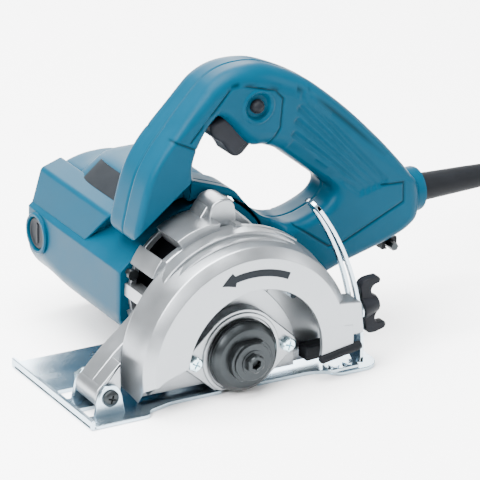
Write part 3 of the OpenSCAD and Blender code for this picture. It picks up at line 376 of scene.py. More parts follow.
def rounded(points, radii, k=6):
    """A closed outline with each corner p replaced by k points of the curve
    (1-t)^2 (p - r u) + 2 t (1-t) p + t^2 (p + r v), with u and v the ways in and out."""
    p = np.asarray(points, float)
    before, after = np.roll(p, 1, 0), np.roll(p, -1, 0)
    u, v = p - before, after - p
    lu, lv = np.linalg.norm(u, axis=1), np.linalg.norm(v, axis=1)
    r = np.minimum(np.broadcast_to(np.asarray(radii, float), len(p)), 0.48 * np.minimum(lu, lv))
    a, b = p - r[:, None] * u / lu[:, None], p + r[:, None] * v / lv[:, None]
    t = np.linspace(0, 1, k)[None, :, None]
    return ((1 - t)**2 * a[:, None] + 2 * t * (1 - t) * p[:, None] + t**2 * b[:, None]).reshape(-1, 2)


def shrunk(loop, d):
    """The outline moved inwards by d, along the average of its two edges' normals at each point."""
    nxt, prv = np.roll(loop, -1, 0), np.roll(loop, 1, 0)
    e = lambda q: q / np.maximum(np.linalg.norm(q, axis=1), 1e-9)[:, None]
    t = e(e(nxt - loop) + e(loop - prv))
    area = (loop[:, 0] * nxt[:, 1] - nxt[:, 0] * loop[:, 1]).sum()
    return loop + np.sign(area) * d * np.column_stack([-t[:, 1], t[:, 0]])


def block(name, outline, y0, y1, edge=0.5, sharp=35):
    """An outline in X and Z carried from y0 to y1, its two rims rounded to a quarter circle of
    radius edge: inset edge (1 - sin t) at edge (1 - cos t) from the end."""
    t = np.linspace(0, np.pi / 2, 4)
    ins, run = edge * (1 - np.sin(t)), edge * (1 - np.cos(t))
    rings = [(shrunk(outline, d), y0 + s) for d, s in zip(ins, run)]
    rings += [(shrunk(outline, d), y1 - s) for d, s in zip(ins[::-1], run[::-1])]
    return shell(name, [np.column_stack([q[:, 0], np.full(len(q), y), q[:, 1]]) for q, y in rings],
                 sharp=sharp)


def flat_plate(name, outline, z0, z1, edge=0.4):
    """The same as block, for an outline in X and Y carried up from z0 to z1."""
    made = block(name, outline, z0, z1, edge)
    co = np.zeros(len(made.data.vertices) * 3)
    made.data.vertices.foreach_get("co", co)
    co = (co.reshape(-1, 3) + seat_to_origin / 1000)[:, [0, 2, 1]] - seat_to_origin / 1000
    made.data.vertices.foreach_set("co", co.ravel())
    made.data.flip_normals()
    made.data.update()
    return made


sole_blank = flat_plate("sole_sheet", rounded(
    [(-99, -8), (-62, -8), (-60, -2.5), (-43, 2), (-11.5, 2), (-11.5, 35), (11.5, 35), (11.5, 2),
     (46, 2), (54, -1), (60, -8), (82, -8), (88, -1), (88, 78.5), (76, 90.5), (-99, 90.5)],
    [2, 3, 2, 4, 1, 2, 2, 1, 4, 3, 3, 6, 6, 5, 5, 4]), 0, sheet)
windows = [flat_plate("window", rounded([(-94.5, y + sheet), (-74, y + sheet), (-74, y + 14.5),
                                         (-94.5, y + 14.5)], 2), -2, 5) for y in (2.6, 29.6)]
sole_blank = cut(sole_blank, *windows)
lip_profile = np.array([(-99, 0.6), (-98.5, 0), (-96, 0), (-96, sheet), (-96.8, 2.8), (-96.8, 5.1),
                        (-97.2, 5.5), (-98.6, 5.5), (-99, 5.1)])
lip = block("lip", lip_profile, -8, 90.5, 0.3)
lugs = [block("lug", rounded([(-92, 0.2), (-91.5, 3), (-89, 14), (-86, 19.4), (-78, 19.4),
                              (-75, 14), (-73, 3), (-72.5, 0.2)], [0.3, 3, 5, 5, 5, 5, 3, 0.3]),
              y, y + sheet, 0.4) for y in (2.6, 29.6)]
sole = join("sole", sole_blank, lip, *lugs)
# zinc plate on rolled steel: blue-white, streaked along the rolling, near bright
zinc = finish_of("zinc_plated_steel", "#9CAFBC", "#B2C3CE", 14, 0.8, 0.24, 0.05, 0.004, metal=1.0,
                 stretch=(0.35, 1, 1))
sole.data.materials.append(zinc)
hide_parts("base_plate")
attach(sole, "base")

# ---------------------------------------------------------------------------
# Depth guide. A strip of the same plated steel, bent to an arc about the pivot
# and slotted for the clamp stud; its foot is turned in and riveted to the sole.
guide_r, slot_middle = 155.2, -1.5


def framed(name, outer, inner, to_space, h0, h1):
    """A flat frame between two outlines, h0 to h1 thick: a ring of four corners carried round.
    to_space(a, b, h) places a point a along, b across and h above the flat."""
    at = [to_space(q[:, 0], q[:, 1], np.full(len(q), float(h)))
          for q, h in ((outer, h0), (outer, h1), (inner, h1), (inner, h0))]
    return shell(name, np.stack(at), wrap=True, bevel=0.3)


def on_arc(a, b, h):
    """a is the angle from the pivot in degrees, b across the saw, h outwards from the arc."""
    r = guide_r + h
    return np.column_stack([pivot[0] + r * np.cos(np.radians(a)), slot_middle + b,
                            pivot[1] + r * np.sin(np.radians(a))])


def stadium(a0, a1, half, degree_mm, n=24, m=60, square=1.0):
    """A slot outline from a0 to a1 degrees: two straight sides and two round ends."""
    t = np.linspace(-np.pi / 2, np.pi / 2, n)
    far = np.column_stack([a1 + (half * square * np.cos(t) - half * square) / degree_mm, half * np.sin(t)])
    near = np.column_stack([a0 - (half * square * np.cos(t) - half * square) / degree_mm, -half * np.sin(t)])
    up = np.column_stack([np.linspace(a0, a1, m)[1:-1], np.full(m - 2, -half)])
    down = np.column_stack([np.linspace(a1, a0, m)[1:-1], np.full(m - 2, half)])
    return np.vstack([up, far, down, near])


per_degree = guide_r * np.pi / 180
arc = framed("arc", stadium(-3.0, 38, 6.5, per_degree, square=0.8),
             stadium(3.4, 35.6, 3.3, per_degree), on_arc, 0, 2.0)
foot = flat_plate("foot", rounded([(54, -6.8), (73.6, -6.8), (73.6, 3.8), (54, 3.8)], [3, 1, 1, 3]),
                  sheet + 0.02, 2 * sheet, 0.4)
guide = join("depth_guide", arc, foot)
# bright zinc plate: paler and smoother than the sole's, so it gleams along the arc
bright_zinc = finish_of("bright_zinc_plate", "#9DADB8", "#B4C2CB", 10, 0.7, 0.2, 0.05, 0.003, metal=1.0)
guide.data.materials.append(bright_zinc)
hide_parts("depth_guide")
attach(guide, "base")

# ---------------------------------------------------------------------------
# Blade case. Sand-fine die-cast aluminium: a rim with a bevelled near edge, a
# near wall with an arched opening, and a floor that the bearing box sits on.
spindle_z = 22.8
theta_steps = 150


def arch_radius(theta):
    """Distance from the spindle to the arch, a circle of 43 about (3, 22), along theta."""
    cx, cz = 3.0, -0.8
    return cx * np.cos(theta) + cz * np.sin(theta) + np.sqrt(
        43.0**2 - (cx * np.sin(theta) - cz * np.cos(theta))**2)


# section of the rim: radius (0 marks the arch's edge), y, start and end angles in degrees
rim_section = [(0, -11, -12, 184.2), (60.6, -11, -3.6, 184.2), (61.3, -10.7, -3.4, 184),
               (66, -6.4, -3.2, 186), (66.6, -5.4, -3.2, 187), (67.6, 1, -3.2, 194), (68.4, 8, -3, 192),
               (69.6, 13.6, -1, 190), (69.4, 15, -1, 190), (61.6, 15, -1, 190), (60.8, 9.5, -3, 192),
               (60.6, 1, -3.2, 193), (60.5, -7.6, -3.2, 186), (60, -8, -3.2, 184.2), (0, -8, -12, 184.2)]
share = np.linspace(0, 1, theta_steps)
rim_rings = []
for radius, y, first, last in rim_section:
    theta = np.radians(first + (last - first) * share)
    if radius == 0:
        # below the left end the wall's edge runs straight out to the rim
        spread = ease((np.degrees(theta) - 174) / 11)
        radius = arch_radius(theta) * (1 - spread) + 58.9 * spread
        radius = np.maximum(radius, 45.8 * ease((2 - np.degrees(theta)) / 8))
    rim_rings.append(np.column_stack([radius * np.cos(theta), np.full(theta_steps, float(y)),
                                      spindle_z + radius * np.sin(theta)]))
rim = shell("rim", np.stack(rim_rings, 1), sharp=28, bevel=0.5)
half = np.radians(np.linspace(-17, 197, 90))
floor_line = np.column_stack([61.2 * np.cos(half), spindle_z + 61.2 * np.sin(half)])
case_floor = block("case_floor", floor_line, 13.4, 14.9, 0.2)
# the floor's raised land ends short of the rim on the rear side, along a curved edge
far = np.radians(np.linspace(88, 197, 70))
land_edge = through([(39.4, 4.6), (39.6, 16), (38.2, 28), (33.5, 37.5), (27.5, 46), (20.5, 53.6),
                     (12, 61), (4, 68), (3, 82)], 6)
land = block("land", np.vstack([land_edge, np.column_stack([
    60.9 * np.cos(far), spindle_z + 60.9 * np.sin(far)])]), 9.5, 13.6, 0.4)


def crescent(name, r, y0, y1, first, last, height):
    """A raised step on the rim whose height rises and falls as sin over its length."""
    q = np.linspace(0, 1, 60)
    theta, lift = np.radians(first + (last - first) * q), height * np.sin(np.pi * q) ** 0.5
    rows = [(r - 3, y1, 0), (r - 3, y0, 0), (r - 0.8, y0, 1), (r - 0.2, y0 + 0.6, 1), (r - 0.2, y1, 1)]
    return shell(name, np.stack([np.column_stack([
        (rr + k * lift) * np.cos(theta), np.full(60, float(y)), spindle_z + (rr + k * lift) * np.sin(theta)])
        for rr, y, k in rows], 1))


steps = [crescent("step", 67.4, 0.5, 9, 62, 128, 1.6), crescent("step", 68.2, 6, 15, 56, 134, 3.0)]
wing_way = np.radians(9)
lug_line = rounded([(55, 25), (64, 25.4), (73, 25.6), (72.4, 33), (71.2, 45), (60, 46.5), (52, 47)],
                   [2, 2, 1, 3, 1.5, 3, 2])
case_lug = block("case_lug", lug_line, -10.9, 3.4, 0.8)
corner = block("corner", rounded([(46.6, 14), (66.6, 18.6), (66.4, 32), (47.5, 34)], [1, 1.5, 1, 1]),
               -11.04, -7.9, 0.5)
blade_case = join("blade_case", rim, case_floor, land, case_lug, corner, *steps)
# blasted die-cast aluminium: satin grey, its fine grain spreading the highlights
cast = finish_of("die_cast_aluminium", "#85898C", "#92969A", 16, 0.45, 0.34, 0.05, 0.02, metal=0.9)
blade_case.data.materials.append(cast)
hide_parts("blade_case")
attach(blade_case, "tool")

# Turning mark on the near face: a plain curved arrow, pad-printed in grey
mark_theta = np.radians(np.linspace(64, 112, 40))
mark_r = np.interp(np.degrees(mark_theta), [64, 103, 103.01, 112], [2.1, 2.1, 4.6, 0.05])
mark = shell("turning_mark", np.stack([np.column_stack([
    (52.6 + s * mark_r) * np.cos(mark_theta), np.full(40, y),
    spindle_z + (52.6 + s * mark_r) * np.sin(mark_theta)])
    for s, y in ((-1, -11.12), (1, -11.12), (1, -10.9), (-1, -10.9))], 1))
# pad-printed ink: dark grey and flat
ink = finish_of("grey_print", "#15181B", "#1B1F23", 8, 0.3, 0.5, 0.05, 0.002)
mark.data.materials.append(ink)
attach(mark, "tool")

# ---------------------------------------------------------------------------
# Gear housing. The second casting: ribs with open vents between the blade case
# and the motor, a boss with a domed end on top, and the arm to the pivot.
motor = np.array([-11.0, 55.37])


def polar_block(name, centre, r0, r1, a0, a1, y0, y1, edge=0.8, n=14):
    """A block between two radii and two angles about a centre, carried from y0 to y1."""
    a = np.radians(np.linspace(a0, a1, n))
    line = np.vstack([np.column_stack([r1 * np.cos(a), r1 * np.sin(a)]),
                      np.column_stack([r0 * np.cos(a[::-1]), r0 * np.sin(a[::-1])])]) + centre
    return block(name, line, y0, y1, edge)


spindle = np.array([0.0, spindle_z])
parts = [polar_block("rib", motor, 33, 42.4, a0, a1, 15, 40.9, 0.5) for a0, a1 in
         ((84, 122), (140, 156), (172, 182), (195, 208), (20, 70), (-30, 10))]
parts.append(polar_block("flange", motor, 36.5, 40.2, 0, 359.9, 38, 40.9, 0.5, 120))
disc = np.radians(np.linspace(0, 360, 120, endpoint=False))
parts.append(block("chamber", np.column_stack([27 * np.cos(disc), np.maximum(
    spindle_z + 27 * np.sin(disc), 3.4)]), 14, 40.9, 1))
# shoulder behind the blade case, running up to the top of the motor flange
parts.append(polar_block("shoulder", spindle, 40, 70.6, 52, 132, 14.6, 21, 1.5, 50))
parts.append(polar_block("shoulder", spindle, 52, 66, 132, 172, 13, 17, 1.0, 40))
parts.append(polar_block("shoulder", spindle, 30, 66, -8, 52, 13, 19, 1.0, 40))
lug_top = rounded([(-9.2, 88), (-9.2, 100), (-7.4, 106.4), (-0.8, 108.7), (5.8, 106.4), (7.6, 100),
                   (7.6, 88)],
                  [1, 5, 4.5, 4.5, 4.5, 5, 1], 8)
parts.append(block("top_lug", lug_top, 22.6, 40.9, 1.2))
saddle = rounded([(-17, 80), (-16, 93), (-12.5, 98), (-8, 104.6), (4, 103.6), (17, 92.6), (30, 78)],
                 [1, 3, 3, 3, 4, 5, 1], 6)
parts.append(block("saddle", saddle, 27, 40.9, 1.2))
arm_line = rounded([(-88.5, 17), (-73.5, 32.4), (-58, 45.4), (-46, 58), (-36, 50), (-46, 30),
                    (-62, 16), (-75, 4.6), (-84, 4), (-90, 9)], [6, 2, 4, 3, 4, 6, 8, 7, 7, 6], 8)
parts.append(block("arm", arm_line, 14.9, 29.3, 1.2))
boss = np.column_stack([8.2 * np.cos(disc), 8.2 * np.sin(disc)]) + pivot
parts.append(block("pivot_boss", boss, 5.1, 29.3, 1.0))
near_arm = rounded([(-88.6, 16.8), (-78, 27.4), (-74.2, 30.9), (-73.6, 18), (-74.5, 8), (-80, 4),
                    (-90, 9)], [6, 2, 1, 3, 3, 6, 6], 8)
parts.append(block("near_arm", near_arm, 5.1, 16, 1.0))
gear_housing = join("gear_housing", *parts)
gear_housing.data.materials.append(cast)
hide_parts("gear_housing")
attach(gear_housing, "tool")

# ---------------------------------------------------------------------------
# Bearing box. A cast diamond plate with a ring boss round the inner flange,
# held to the case floor by two zinc-plated screws with cross recesses.
# the outline of a disc of 26.5 drawn out to an ear of 6 at 30 each side
line = []
for a0, a1, c, r in ((-52, 52, (30, 0), 6.0), (52, 128, (0, 0), 26.5), (128, 232, (-30, 0), 6.0),
                     (232, 308, (0, 0), 26.5)):
    a = np.radians(np.linspace(a0, a1, 24))
    line.append(np.column_stack([c[0] + r * np.cos(a), c[1] + r * np.sin(a)]))
diamond = np.vstack(line) + spindle
diamond[:, 1] = np.maximum(diamond[:, 1], 3.0)
box_plate = block("box_plate", diamond, 1.8, 9.4, 0.9)


def spun(name, stations, centre=spindle, n=96):
    """A turned piece: rings about an axis along Y through centre. Each station is (y, radius),
    and a radius may be a function of the turning angle, as for a hexagon."""
    a = np.linspace(0, 2 * np.pi, n, endpoint=False)
    rings = []
    for y, r in stations:
        r = r(a) if callable(r) else np.full(n, float(r))
        rings.append(np.column_stack([centre[0] + r * np.cos(a), np.full(n, float(y)),
                                      centre[1] + r * np.sin(a)]))
    return shell(name, rings, sharp=30)


def cut_off(r, drop):
    """Radius r, but no lower than drop below the axis: min(r, drop / -sin a) in the lower half."""
    return lambda a: np.minimum(r, drop / np.maximum(-np.sin(a), 1e-6))


box_ring_boss = spun("ring", [
    (2, cut_off(24.5, 19.8)), (1.2, cut_off(24.5, 19.8)), (0.8, cut_off(24.1, 19.8)),
    (0.8, cut_off(22.4, 19.3)), (1.2, cut_off(22, 19.3)), (4.6, cut_off(22, 19.3)),
    (4.6, 8), (8, 8), (8, cut_off(24.5, 19.8))])
bearing_box = join("bearing_box", box_plate, box_ring_boss)
bearing_box.data.materials.append(cast)
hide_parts("bearing_box")
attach(bearing_box, "tool")


def hexagon(across):
    """Radius of a hexagon across its flats: across / 2 / cos(a folded to 30 degrees each side)."""
    return lambda a: across / 2 / np.cos((a + np.pi / 6) % (np.pi / 3) - np.pi / 6)


def cross(reach, arm, rim):
    """Radius of a cross recess: arm / 2 from each of two slots, no more than reach."""
    def radius(a):
        q = np.abs((a + np.pi / 4 + rim) % (np.pi / 2) - np.pi / 4)
        return np.minimum(reach, arm / 2 / np.maximum(np.sin(q), 0.05)) * np.where(q < 0.7, 1, 0.9)
    return radius


screws = [spun("screw", [(9, 2.3), (1.7, 2.3), (1.7, hexagon(7.7)), (-1.2, hexagon(7.7)), (-1.7, 3.4),
                         (-1.75, cross(2.6, 1.0, turn)), (-0.4, cross(1.9, 0.7, turn)),
                         (0.0, 0.3)], spindle + [x, 0]) for x, turn in ((-30, 0.5), (30, 0.25))]
box_screws = join("bearing_box_screws", *screws)
# bright zinc on small screws: bluish, with a glint at every edge
screw_zinc = finish_of("bright_screw_zinc", "#A8CBD6", "#CFE2E8", 3, 0.3, 0.18, 0.05, 0.003, metal=1.0)
box_screws.data.materials.append(screw_zinc)
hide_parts("bearing_box_screws")
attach(box_screws, "tool")

# ---------------------------------------------------------------------------
# Flanges and clamp bolt. Turned steel, blackened: the outer flange steps down
# to a neck with two spanner flats, and the hex bolt has a hexagon socket.
# blackened turned steel: dark grey with a soft metallic sheen on its steps
black_steel = finish_of("blackened_steel", "#232628", "#2E3234", 6, 0.35, 0.36, 0.07, 0.006, metal=0.85)


def flats(across):
    """Radius of a round neck of 13 with two flats, above and below the axis."""
    return lambda a: np.minimum(13.0, across / 2 / np.maximum(np.abs(np.sin(a)), 1e-3))


outer_flange = spun("outer_flange", [
    (-2.4, 10.3), (-0.35, 10.4), (-0.35, 20.6), (-0.8, 21), (-2.8, 21), (-3.2, 20.6), (-4.2, 20.2),
    (-6.4, 17.9), (-6.8, 17.2), (-7, 14), (-7.1, flats(22)), (-11.2, flats(22)),
    (-11.6, lambda a: flats(22)(a) - 0.5), (-11.7, 11.2), (-12.7, 11.2), (-13, 10.8), (-13, 5),
    (-12.8, 4.4), (-2.4, 4.4)])
outer_flange.data.materials.append(black_steel)
bolt = spun("clamp_bolt", [(12, 3.9), (-12.9, 3.9), (-13.05, 7.2), (-13.5, 7.2), (-13.6, hexagon(10)),
                           (-16.2, hexagon(10)), (-16.8, 4.6), (-16.8, hexagon(5.6)),
                           (-16.5, hexagon(5.2)), (-13.2, hexagon(5.1)), (-12.8, 0.4)])
bolt.data.materials.append(black_steel)
inner_flange = spun("inner_flange", [(-1.8, 6.1), (-1.8, 9.6), (-1.4, 10), (0.3, 10), (0.4, 18),
                                     (0, 18.2), (0, 20.6), (0.4, 21), (3.4, 21), (4, 20.2), (4, 6.1)])
inner_flange.data.materials.append(black_steel)
for piece, node_name, body in ((outer_flange, "outer_flange", "flange_clamp"),
                               (bolt, "hex_bolt", "flange_clamp"),
                               (inner_flange, "inner_flange", "spindle")):
    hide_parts(node_name)
    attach(piece, body)

# ---------------------------------------------------------------------------
# Pivot screw and nut. A blackened pan head with a cross recess, M6, through
# both lugs of the sole and the boss of the gear housing.
pivot_screw = spun("pivot_screw", [
    (38.6, 2.6), (38.2, 3), (2.6, 3), (2.6, 4.9), (1.6, 4.9), (0.7, 4.2), (0.15, 2.9),
    (0.1, cross(2.6, 1.1, 0.3)), (1.6, cross(1.8, 0.7, 0.3)), (1.8, 0.2)], pivot, 64)
pivot_screw.data.materials.append(black_steel)
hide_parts("pivot_screw")
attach(pivot_screw, "base")
pivot_nut = spun("pivot_nut", [(31.8, 3.0), (31.8, hexagon(9.7)), (36.4, hexagon(9.7)), (36.8, 4.6),
                               (36.8, 3.05)], pivot, 72)
pivot_nut.data.materials.append(screw_zinc)
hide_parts("pivot_nut")
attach(pivot_nut, "base")

# ---------------------------------------------------------------------------
# Dust skirt. Black rubber: a bead under the near wall's rear corner and a pad
# between the walls, both pushed onto the casting.
bead_x = np.array([44.5, 45.2, 46, 57, 70, 71.2, 71.8])
bead = tube("bead", np.column_stack([bead_x, np.full(7, -10.6), 14 + 0.17 * (bead_x - 44)]),
            [1.3, 2.3, 2.7, 2.7, 2.7, 2.3, 1.1])
pad = block("pad", rounded([(42, 9.4), (60, 10.4), (60, 18.4), (42, 18.0)], 1.5), 0, 9.2, 0.8)
skirt = join("dust_skirt", bead, pad)
skirt.data.materials.append(rubber)
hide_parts("dust_skirt")
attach(skirt, "tool")

# ---------------------------------------------------------------------------
# Depth clamp. A zinc-plated M6 stud and washer through the guide's slot, with a
# moulded nylon wing on the stud.
wing_axis = np.array([math.cos(wing_way), 0.0, math.sin(wing_way)])
wing_up = np.array([-math.sin(wing_way), 0.0, math.cos(wing_way)])
pivot_3d = np.array([pivot[0], slot_middle, pivot[1]])


def on_clamp(a, b, c):
    """a out along the stud from the guide's outer face, b up across it, c towards the motor."""
    return (pivot_3d + np.multiply.outer(guide_r + 2.0 + np.asarray(a, float), wing_axis)
            + np.multiply.outer(np.asarray(b, float), wing_up)
            + np.multiply.outer(np.asarray(c, float), np.array([0, 1.0, 0])))


def clamp_turned(name, stations, n=48):
    """Rings about the stud: each station is (distance out along it, radius)."""
    a = np.linspace(0, 2 * np.pi, n, endpoint=False)
    return shell(name, [on_clamp(np.full(n, float(s)), r * np.sin(a), r * np.cos(a))
                        for s, r in stations], sharp=30)


wing_half_line = [(2.7, 0), (2.7, 6.5), (3.4, 9.5), (3.0, 14), (5, 16.6), (9, 17.3), (15.4, 16.6),
                  (16.8, 14.6), (16, 12.4), (11.6, 12), (9.6, 9.6), (10.6, 6.2), (13.6, 3.8), (14.4, 0)]
wing_line = rounded(np.array(wing_half_line + [(a, -b) for a, b in wing_half_line[-2:0:-1]]), 2.2, 5)
wing_rings = [on_clamp(q[:, 0], q[:, 1], np.full(len(q), c)) for q, c in (
    (shrunk(wing_line, 0.8), -3.2), (shrunk(wing_line, 0.3), -3.0), (wing_line, -2.4), (wing_line, 2.4),
    (shrunk(wing_line, 0.3), 3.0), (shrunk(wing_line, 0.8), 3.2))]
wing = join("clamp_wing", shell("wing", wing_rings),
            clamp_turned("hub", [(2.7, 3.0), (2.7, 6.6), (3.2, 7), (5.2, 7), (9, 6), (12.6, 5.4),
                                 (13.6, 4.4), (13.6, 0.2)]))
wing.data.materials.append(nylon)
stud = clamp_turned("clamp_stud", [(-16.2, 2.6), (-15.8, 3), (9.5, 3), (9.6, 2.8)])
stud.data.materials.append(bright_zinc)
washer = clamp_turned("clamp_washer", [(0.6, 3.05), (0.6, 6.1), (0.8, 6.3), (1.8, 6.3), (2.0, 6.1),
                                       (2.0, 3.05)])
washer.data.materials.append(bright_zinc)
for piece, node_name, slot_name in ((wing, "wing_grip", "dark_plastic"), (stud, "wing_stud", "zinc_steel"),
                                    (washer, "guide_washer", "zinc_steel")):
    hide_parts(node_name)
    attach(piece, "wing_bolt")

# ---------------------------------------------------------------------------
# Motor housing. One deep cup moulded in teal glass-filled nylon: a flat front
# face, a raised block along its upper edge, a hump on top and vents in its end.
# glass-filled nylon: satin teal, slightly clouded; a darker teal is mixed in along its grooves as painted
# shade
teal = finish_of("teal_glass_filled_nylon", "#002F40", "#00364A", 22, 0.5, 0.38, 0.05, 0.012)
teal_shader = teal.node_tree.nodes["Principled BSDF"]
moulded_colour = teal_shader.inputs["Base Color"].links[0].from_socket
# painted shade: a per-point attribute blends the teal towards a near-black teal in the handle's grooves
groove_shade = add_node(teal.node_tree, "ShaderNodeAttribute", {"attribute_name": "groove_shade"})
painted_groove_shade = add_node(teal.node_tree, "ShaderNodeMix", {"data_type": "RGBA"}, {7: linear("#00161E")},
                {0: groove_shade.outputs["Fac"], 6: moulded_colour})
teal.node_tree.links.new(painted_groove_shade.outputs[2], teal_shader.inputs["Base Color"])
# outline at four places along the motor, corner for corner, and the corners' radii
near_line = [(-50, 30), (-56, 38), (-56, 67.6), (-54, 69.6), (-41, 81.5), (-30, 92), (-20, 98.5), (4, 101),
             (18, 97), (32, 84), (38, 70), (38, 40), (28, 24), (10, 12.6), (-25, 12.6)]
rear_line = [(-50, 32), (-56, 42), (-56, 68.4), (-53.6, 70.2), (-43, 82), (-32, 92), (-20, 95.4), (-2, 95.8),
             (16, 89.5), (30, 78), (36, 66), (36, 42), (27, 26), (10, 14.5), (-25, 14.5)]
corner_r = [6, 5, 0.8, 0.8, 4, 4, 8, 10, 10, 10, 10, 10, 12, 14, 12]
at_y = np.array([41.3, 112, 146, 157])
lines = np.array([near_line, near_line, rear_line, rear_line], float)
stack = []
for y in np.concatenate([[41.3, 42.3], np.linspace(46, 150, 53), [152, 154, 155.5, 156.6]]):
    k = min(np.searchsorted(at_y, y, "right") - 1, len(at_y) - 2)
    mix = ease((y - at_y[k]) / (at_y[k + 1] - at_y[k]))
    ring = rounded(lines[k] * (1 - mix) + lines[k + 1] * mix, corner_r, 8)
    inset = 3.2 * (1 - math.sqrt(max(0, 1 - max(0, (y - 153.4) / 3.2)**2))) + (0.6 if y < 42 else 0)
    ring = shrunk(ring, inset)
    stack.append(np.column_stack([ring[:, 0], np.full(len(ring), y), ring[:, 1]]))
cup = shell("cup", stack, sharp=28)
cavity = block("cavity", motor + 38.5 * np.column_stack([np.cos(disc), np.sin(disc)]), 40, 148, 0.5)
vents = [block("vent", rounded([(x - 1.6, z0), (x + 1.6, z0), (x + 1.6, z0 + 17), (x - 1.6, z0 + 17)], 1.4),
               146, 160, 0.1) for x in (-39, -31, -23, 3, 11, 19) for z0 in (26, 64)]
cup = cut(cup, cavity, *vents)

# raised block along the upper front edge, its near end cut on a slant
block_line = rounded([(-53.6, 70.0), (-47.8, 90.6), (-34, 95.2), (-34, 72)], [0.8, 2.2, 2, 1], 6)
front_block = []
for along, inset in ((0, 1.4), (0.004, 0.5), (0.014, 0), (0.5, 0), (0.982, 0), (0.993, 0.4), (1, 1.2)):
    q = shrunk(block_line, inset)
    first = 88 - 0.9 * (block_line[:, 1] - 70)
    front_block.append(np.column_stack([q[:, 0], first + (155.2 - first) * along, q[:, 1]]))
front_block = shell("front_block", front_block, sharp=28)

# hump on top: rounded rectangles |x/a|^4 + |y/b|^4 = 1 that shrink with height
hump_levels = np.array([(84, 36, 45), (91, 34.6, 43), (92.5, 33.8, 42), (101.5, 23.2, 37),
                        (103.6, 20.6, 35.6),
                        (105.2, 17.4, 33.6), (106, 13.4, 31), (106.3, 8, 27)])
spin = np.linspace(0, 2 * np.pi, 96, endpoint=False)
hump = shell("hump", [np.column_stack([
    -6 + a * np.sign(np.cos(spin)) * np.abs(np.cos(spin)) ** 0.5,
    96 + b * np.sign(np.sin(spin)) * np.abs(np.sin(spin)) ** 0.5, np.full(96, z)])
    for z, a, b in hump_levels], sharp=30)
brush_y = 142.0


def about_x(name, stations, y, z, n=72):
    """Rings about an axis along X through (y, z): each station is (x, radius)."""
    a = np.linspace(0, 2 * np.pi, n, endpoint=False)
    return shell(name, [np.column_stack([np.full(n, float(x)), y + r * np.cos(a), z + r * np.sin(a)])
                        for x, r in stations], sharp=30)


collars = [about_x("collar", [(s * 40 + motor[0], 9.7), (x - s * 0.6, 9.7), (x, 10.3), (x, 11.6),
                              (x - s * 0.8, 12.4), (s * 40 + motor[0], 12.6)], brush_y, motor[1])
           for s, x in ((-1, -58), (1, 38.4))]
motor_housing = join("motor_housing", cup, front_block, hump, *collars)
motor_housing.data.materials.append(teal)
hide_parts("motor_housing")
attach(motor_housing, "tool")

# Rating plate: a blank printed film on the hump's front slope
plate_z = np.linspace(93.6, 103.4, 12)
plate_a, plate_b = (np.interp(plate_z, hump_levels[:, 0], hump_levels[:, k]) for k in (1, 2))
plate_rings = []
for y in np.linspace(74, 121, 40):
    x = -6 - plate_a * (1 - np.abs((y - 96) / plate_b) ** 4) ** 0.25
    faces = [np.column_stack([x - lift, np.full(12, y), plate_z + 0.8 * lift]) for lift in (0.22, -0.3)]
    plate_rings.append(np.vstack([faces[0], faces[1][::-1]]))
rating_plate = shell("rating_plate", plate_rings, sharp=40)
# printed film: smooth, dark and glossier than the moulding under it
film = finish_of("printed_film", "#17191C", "#1E2124", 10, 0.3, 0.32, 0.04, 0.002)
rating_plate.data.materials.append(film)
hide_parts("rating_plate")
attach(rating_plate, "tool")

# Brush caps: dark nylon screw plugs with a coin slot, one each side
caps = []
for s, x in ((-1, -56.8), (1, 37.2)):
    plate = about_x("cap", [(x - s * 3, 9.4), (x - s * 0.5, 9.4), (x, 8.9), (x, 7.4), (x - s * 0.5, 7),
                            (x - s * 0.5, 0.1)], brush_y, motor[1])
    groove = about_x("bar", [(x - s * 0.6, 0.1), (x - s * 0.6, 6.2), (x + s * 0.1, 6.2), (x + s * 0.1, 0.1)],
                     brush_y, motor[1], 24)
    co = np.zeros(len(groove.data.vertices) * 3)
    groove.data.vertices.foreach_get("co", co)
    co = co.reshape(-1, 3)
    middle = (brush_y - seat_to_origin[1]) / 1000
    co[:, 1] = middle + np.clip(co[:, 1] - middle, -0.0011, 0.0011)
    groove.data.vertices.foreach_set("co", co.ravel())
    caps += [plate, groove]
brush_caps = join("brush_caps", *caps)
# grey nylon: as the wing's, a shade lighter
cap_nylon = finish_of("grey_nylon", "#16181B", "#1D2024", 7, 0.35, 0.45, 0.05, 0.012)
brush_caps.data.materials.append(cap_nylon)
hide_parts("brush_caps")
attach(brush_caps, "tool")

# ---------------------------------------------------------------------------
# Handle. Two mouldings of the same teal nylon that meet on the handle's middle
# plane; the blade side has the lock button's recess, and both have a fluted grip.
half_w = 17.0
handle_outer = [(-50, 88), (-48.5, 101), (-43, 121), (-36, 134), (-27, 145), (-8, 166), (0, 173),
                (9, 177), (20, 178.4), (32, 177.2), (45, 172.5), (57, 166.5), (69, 158.6), (90, 141),
                (110, 121), (124, 105), (131, 96), (136.5, 88), (137, 71), (131, 63.5), (119, 58),
                (104, 53.5), (88, 49), (72, 43.5), (54, 39), (42, 43), (39.5, 57), (38, 71),
                (33.5, 85), (18.5, 98), (4, 103), (-18, 101), (-30, 94.5), (-41, 84)]
handle_inner = [(-13, 116), (-14.5, 121.5), (-14, 129), (-11, 137), (-7, 144), (-2, 149.6), (3, 152.2),
                (10, 147.5), (18, 138), (25, 131), (33, 129.5), (43, 125), (54, 116.5), (66, 107),
                (73.5, 101), (77, 97.8), (78.3, 95), (77.8, 91.8), (75, 88.2), (71, 85.5), (66, 83.3),
                (60, 81.2), (54, 80), (48, 80), (42, 81.5), (37, 84), (33, 87), (29, 90.6),
                (24, 95), (17.5, 103.4), (6, 108.6), (-4, 112), (-9, 114), (-12, 115.2)]
edge_r = np.array([4, 4, 4, 4.5, 5, 7, 8, 9, 10, 11, 12, 12, 12, 12, 11, 9, 8, 8, 8, 8, 8, 8, 8, 8,
                   7, 5, 4, 3, 2, 2, 2, 2, 3, 4.0])
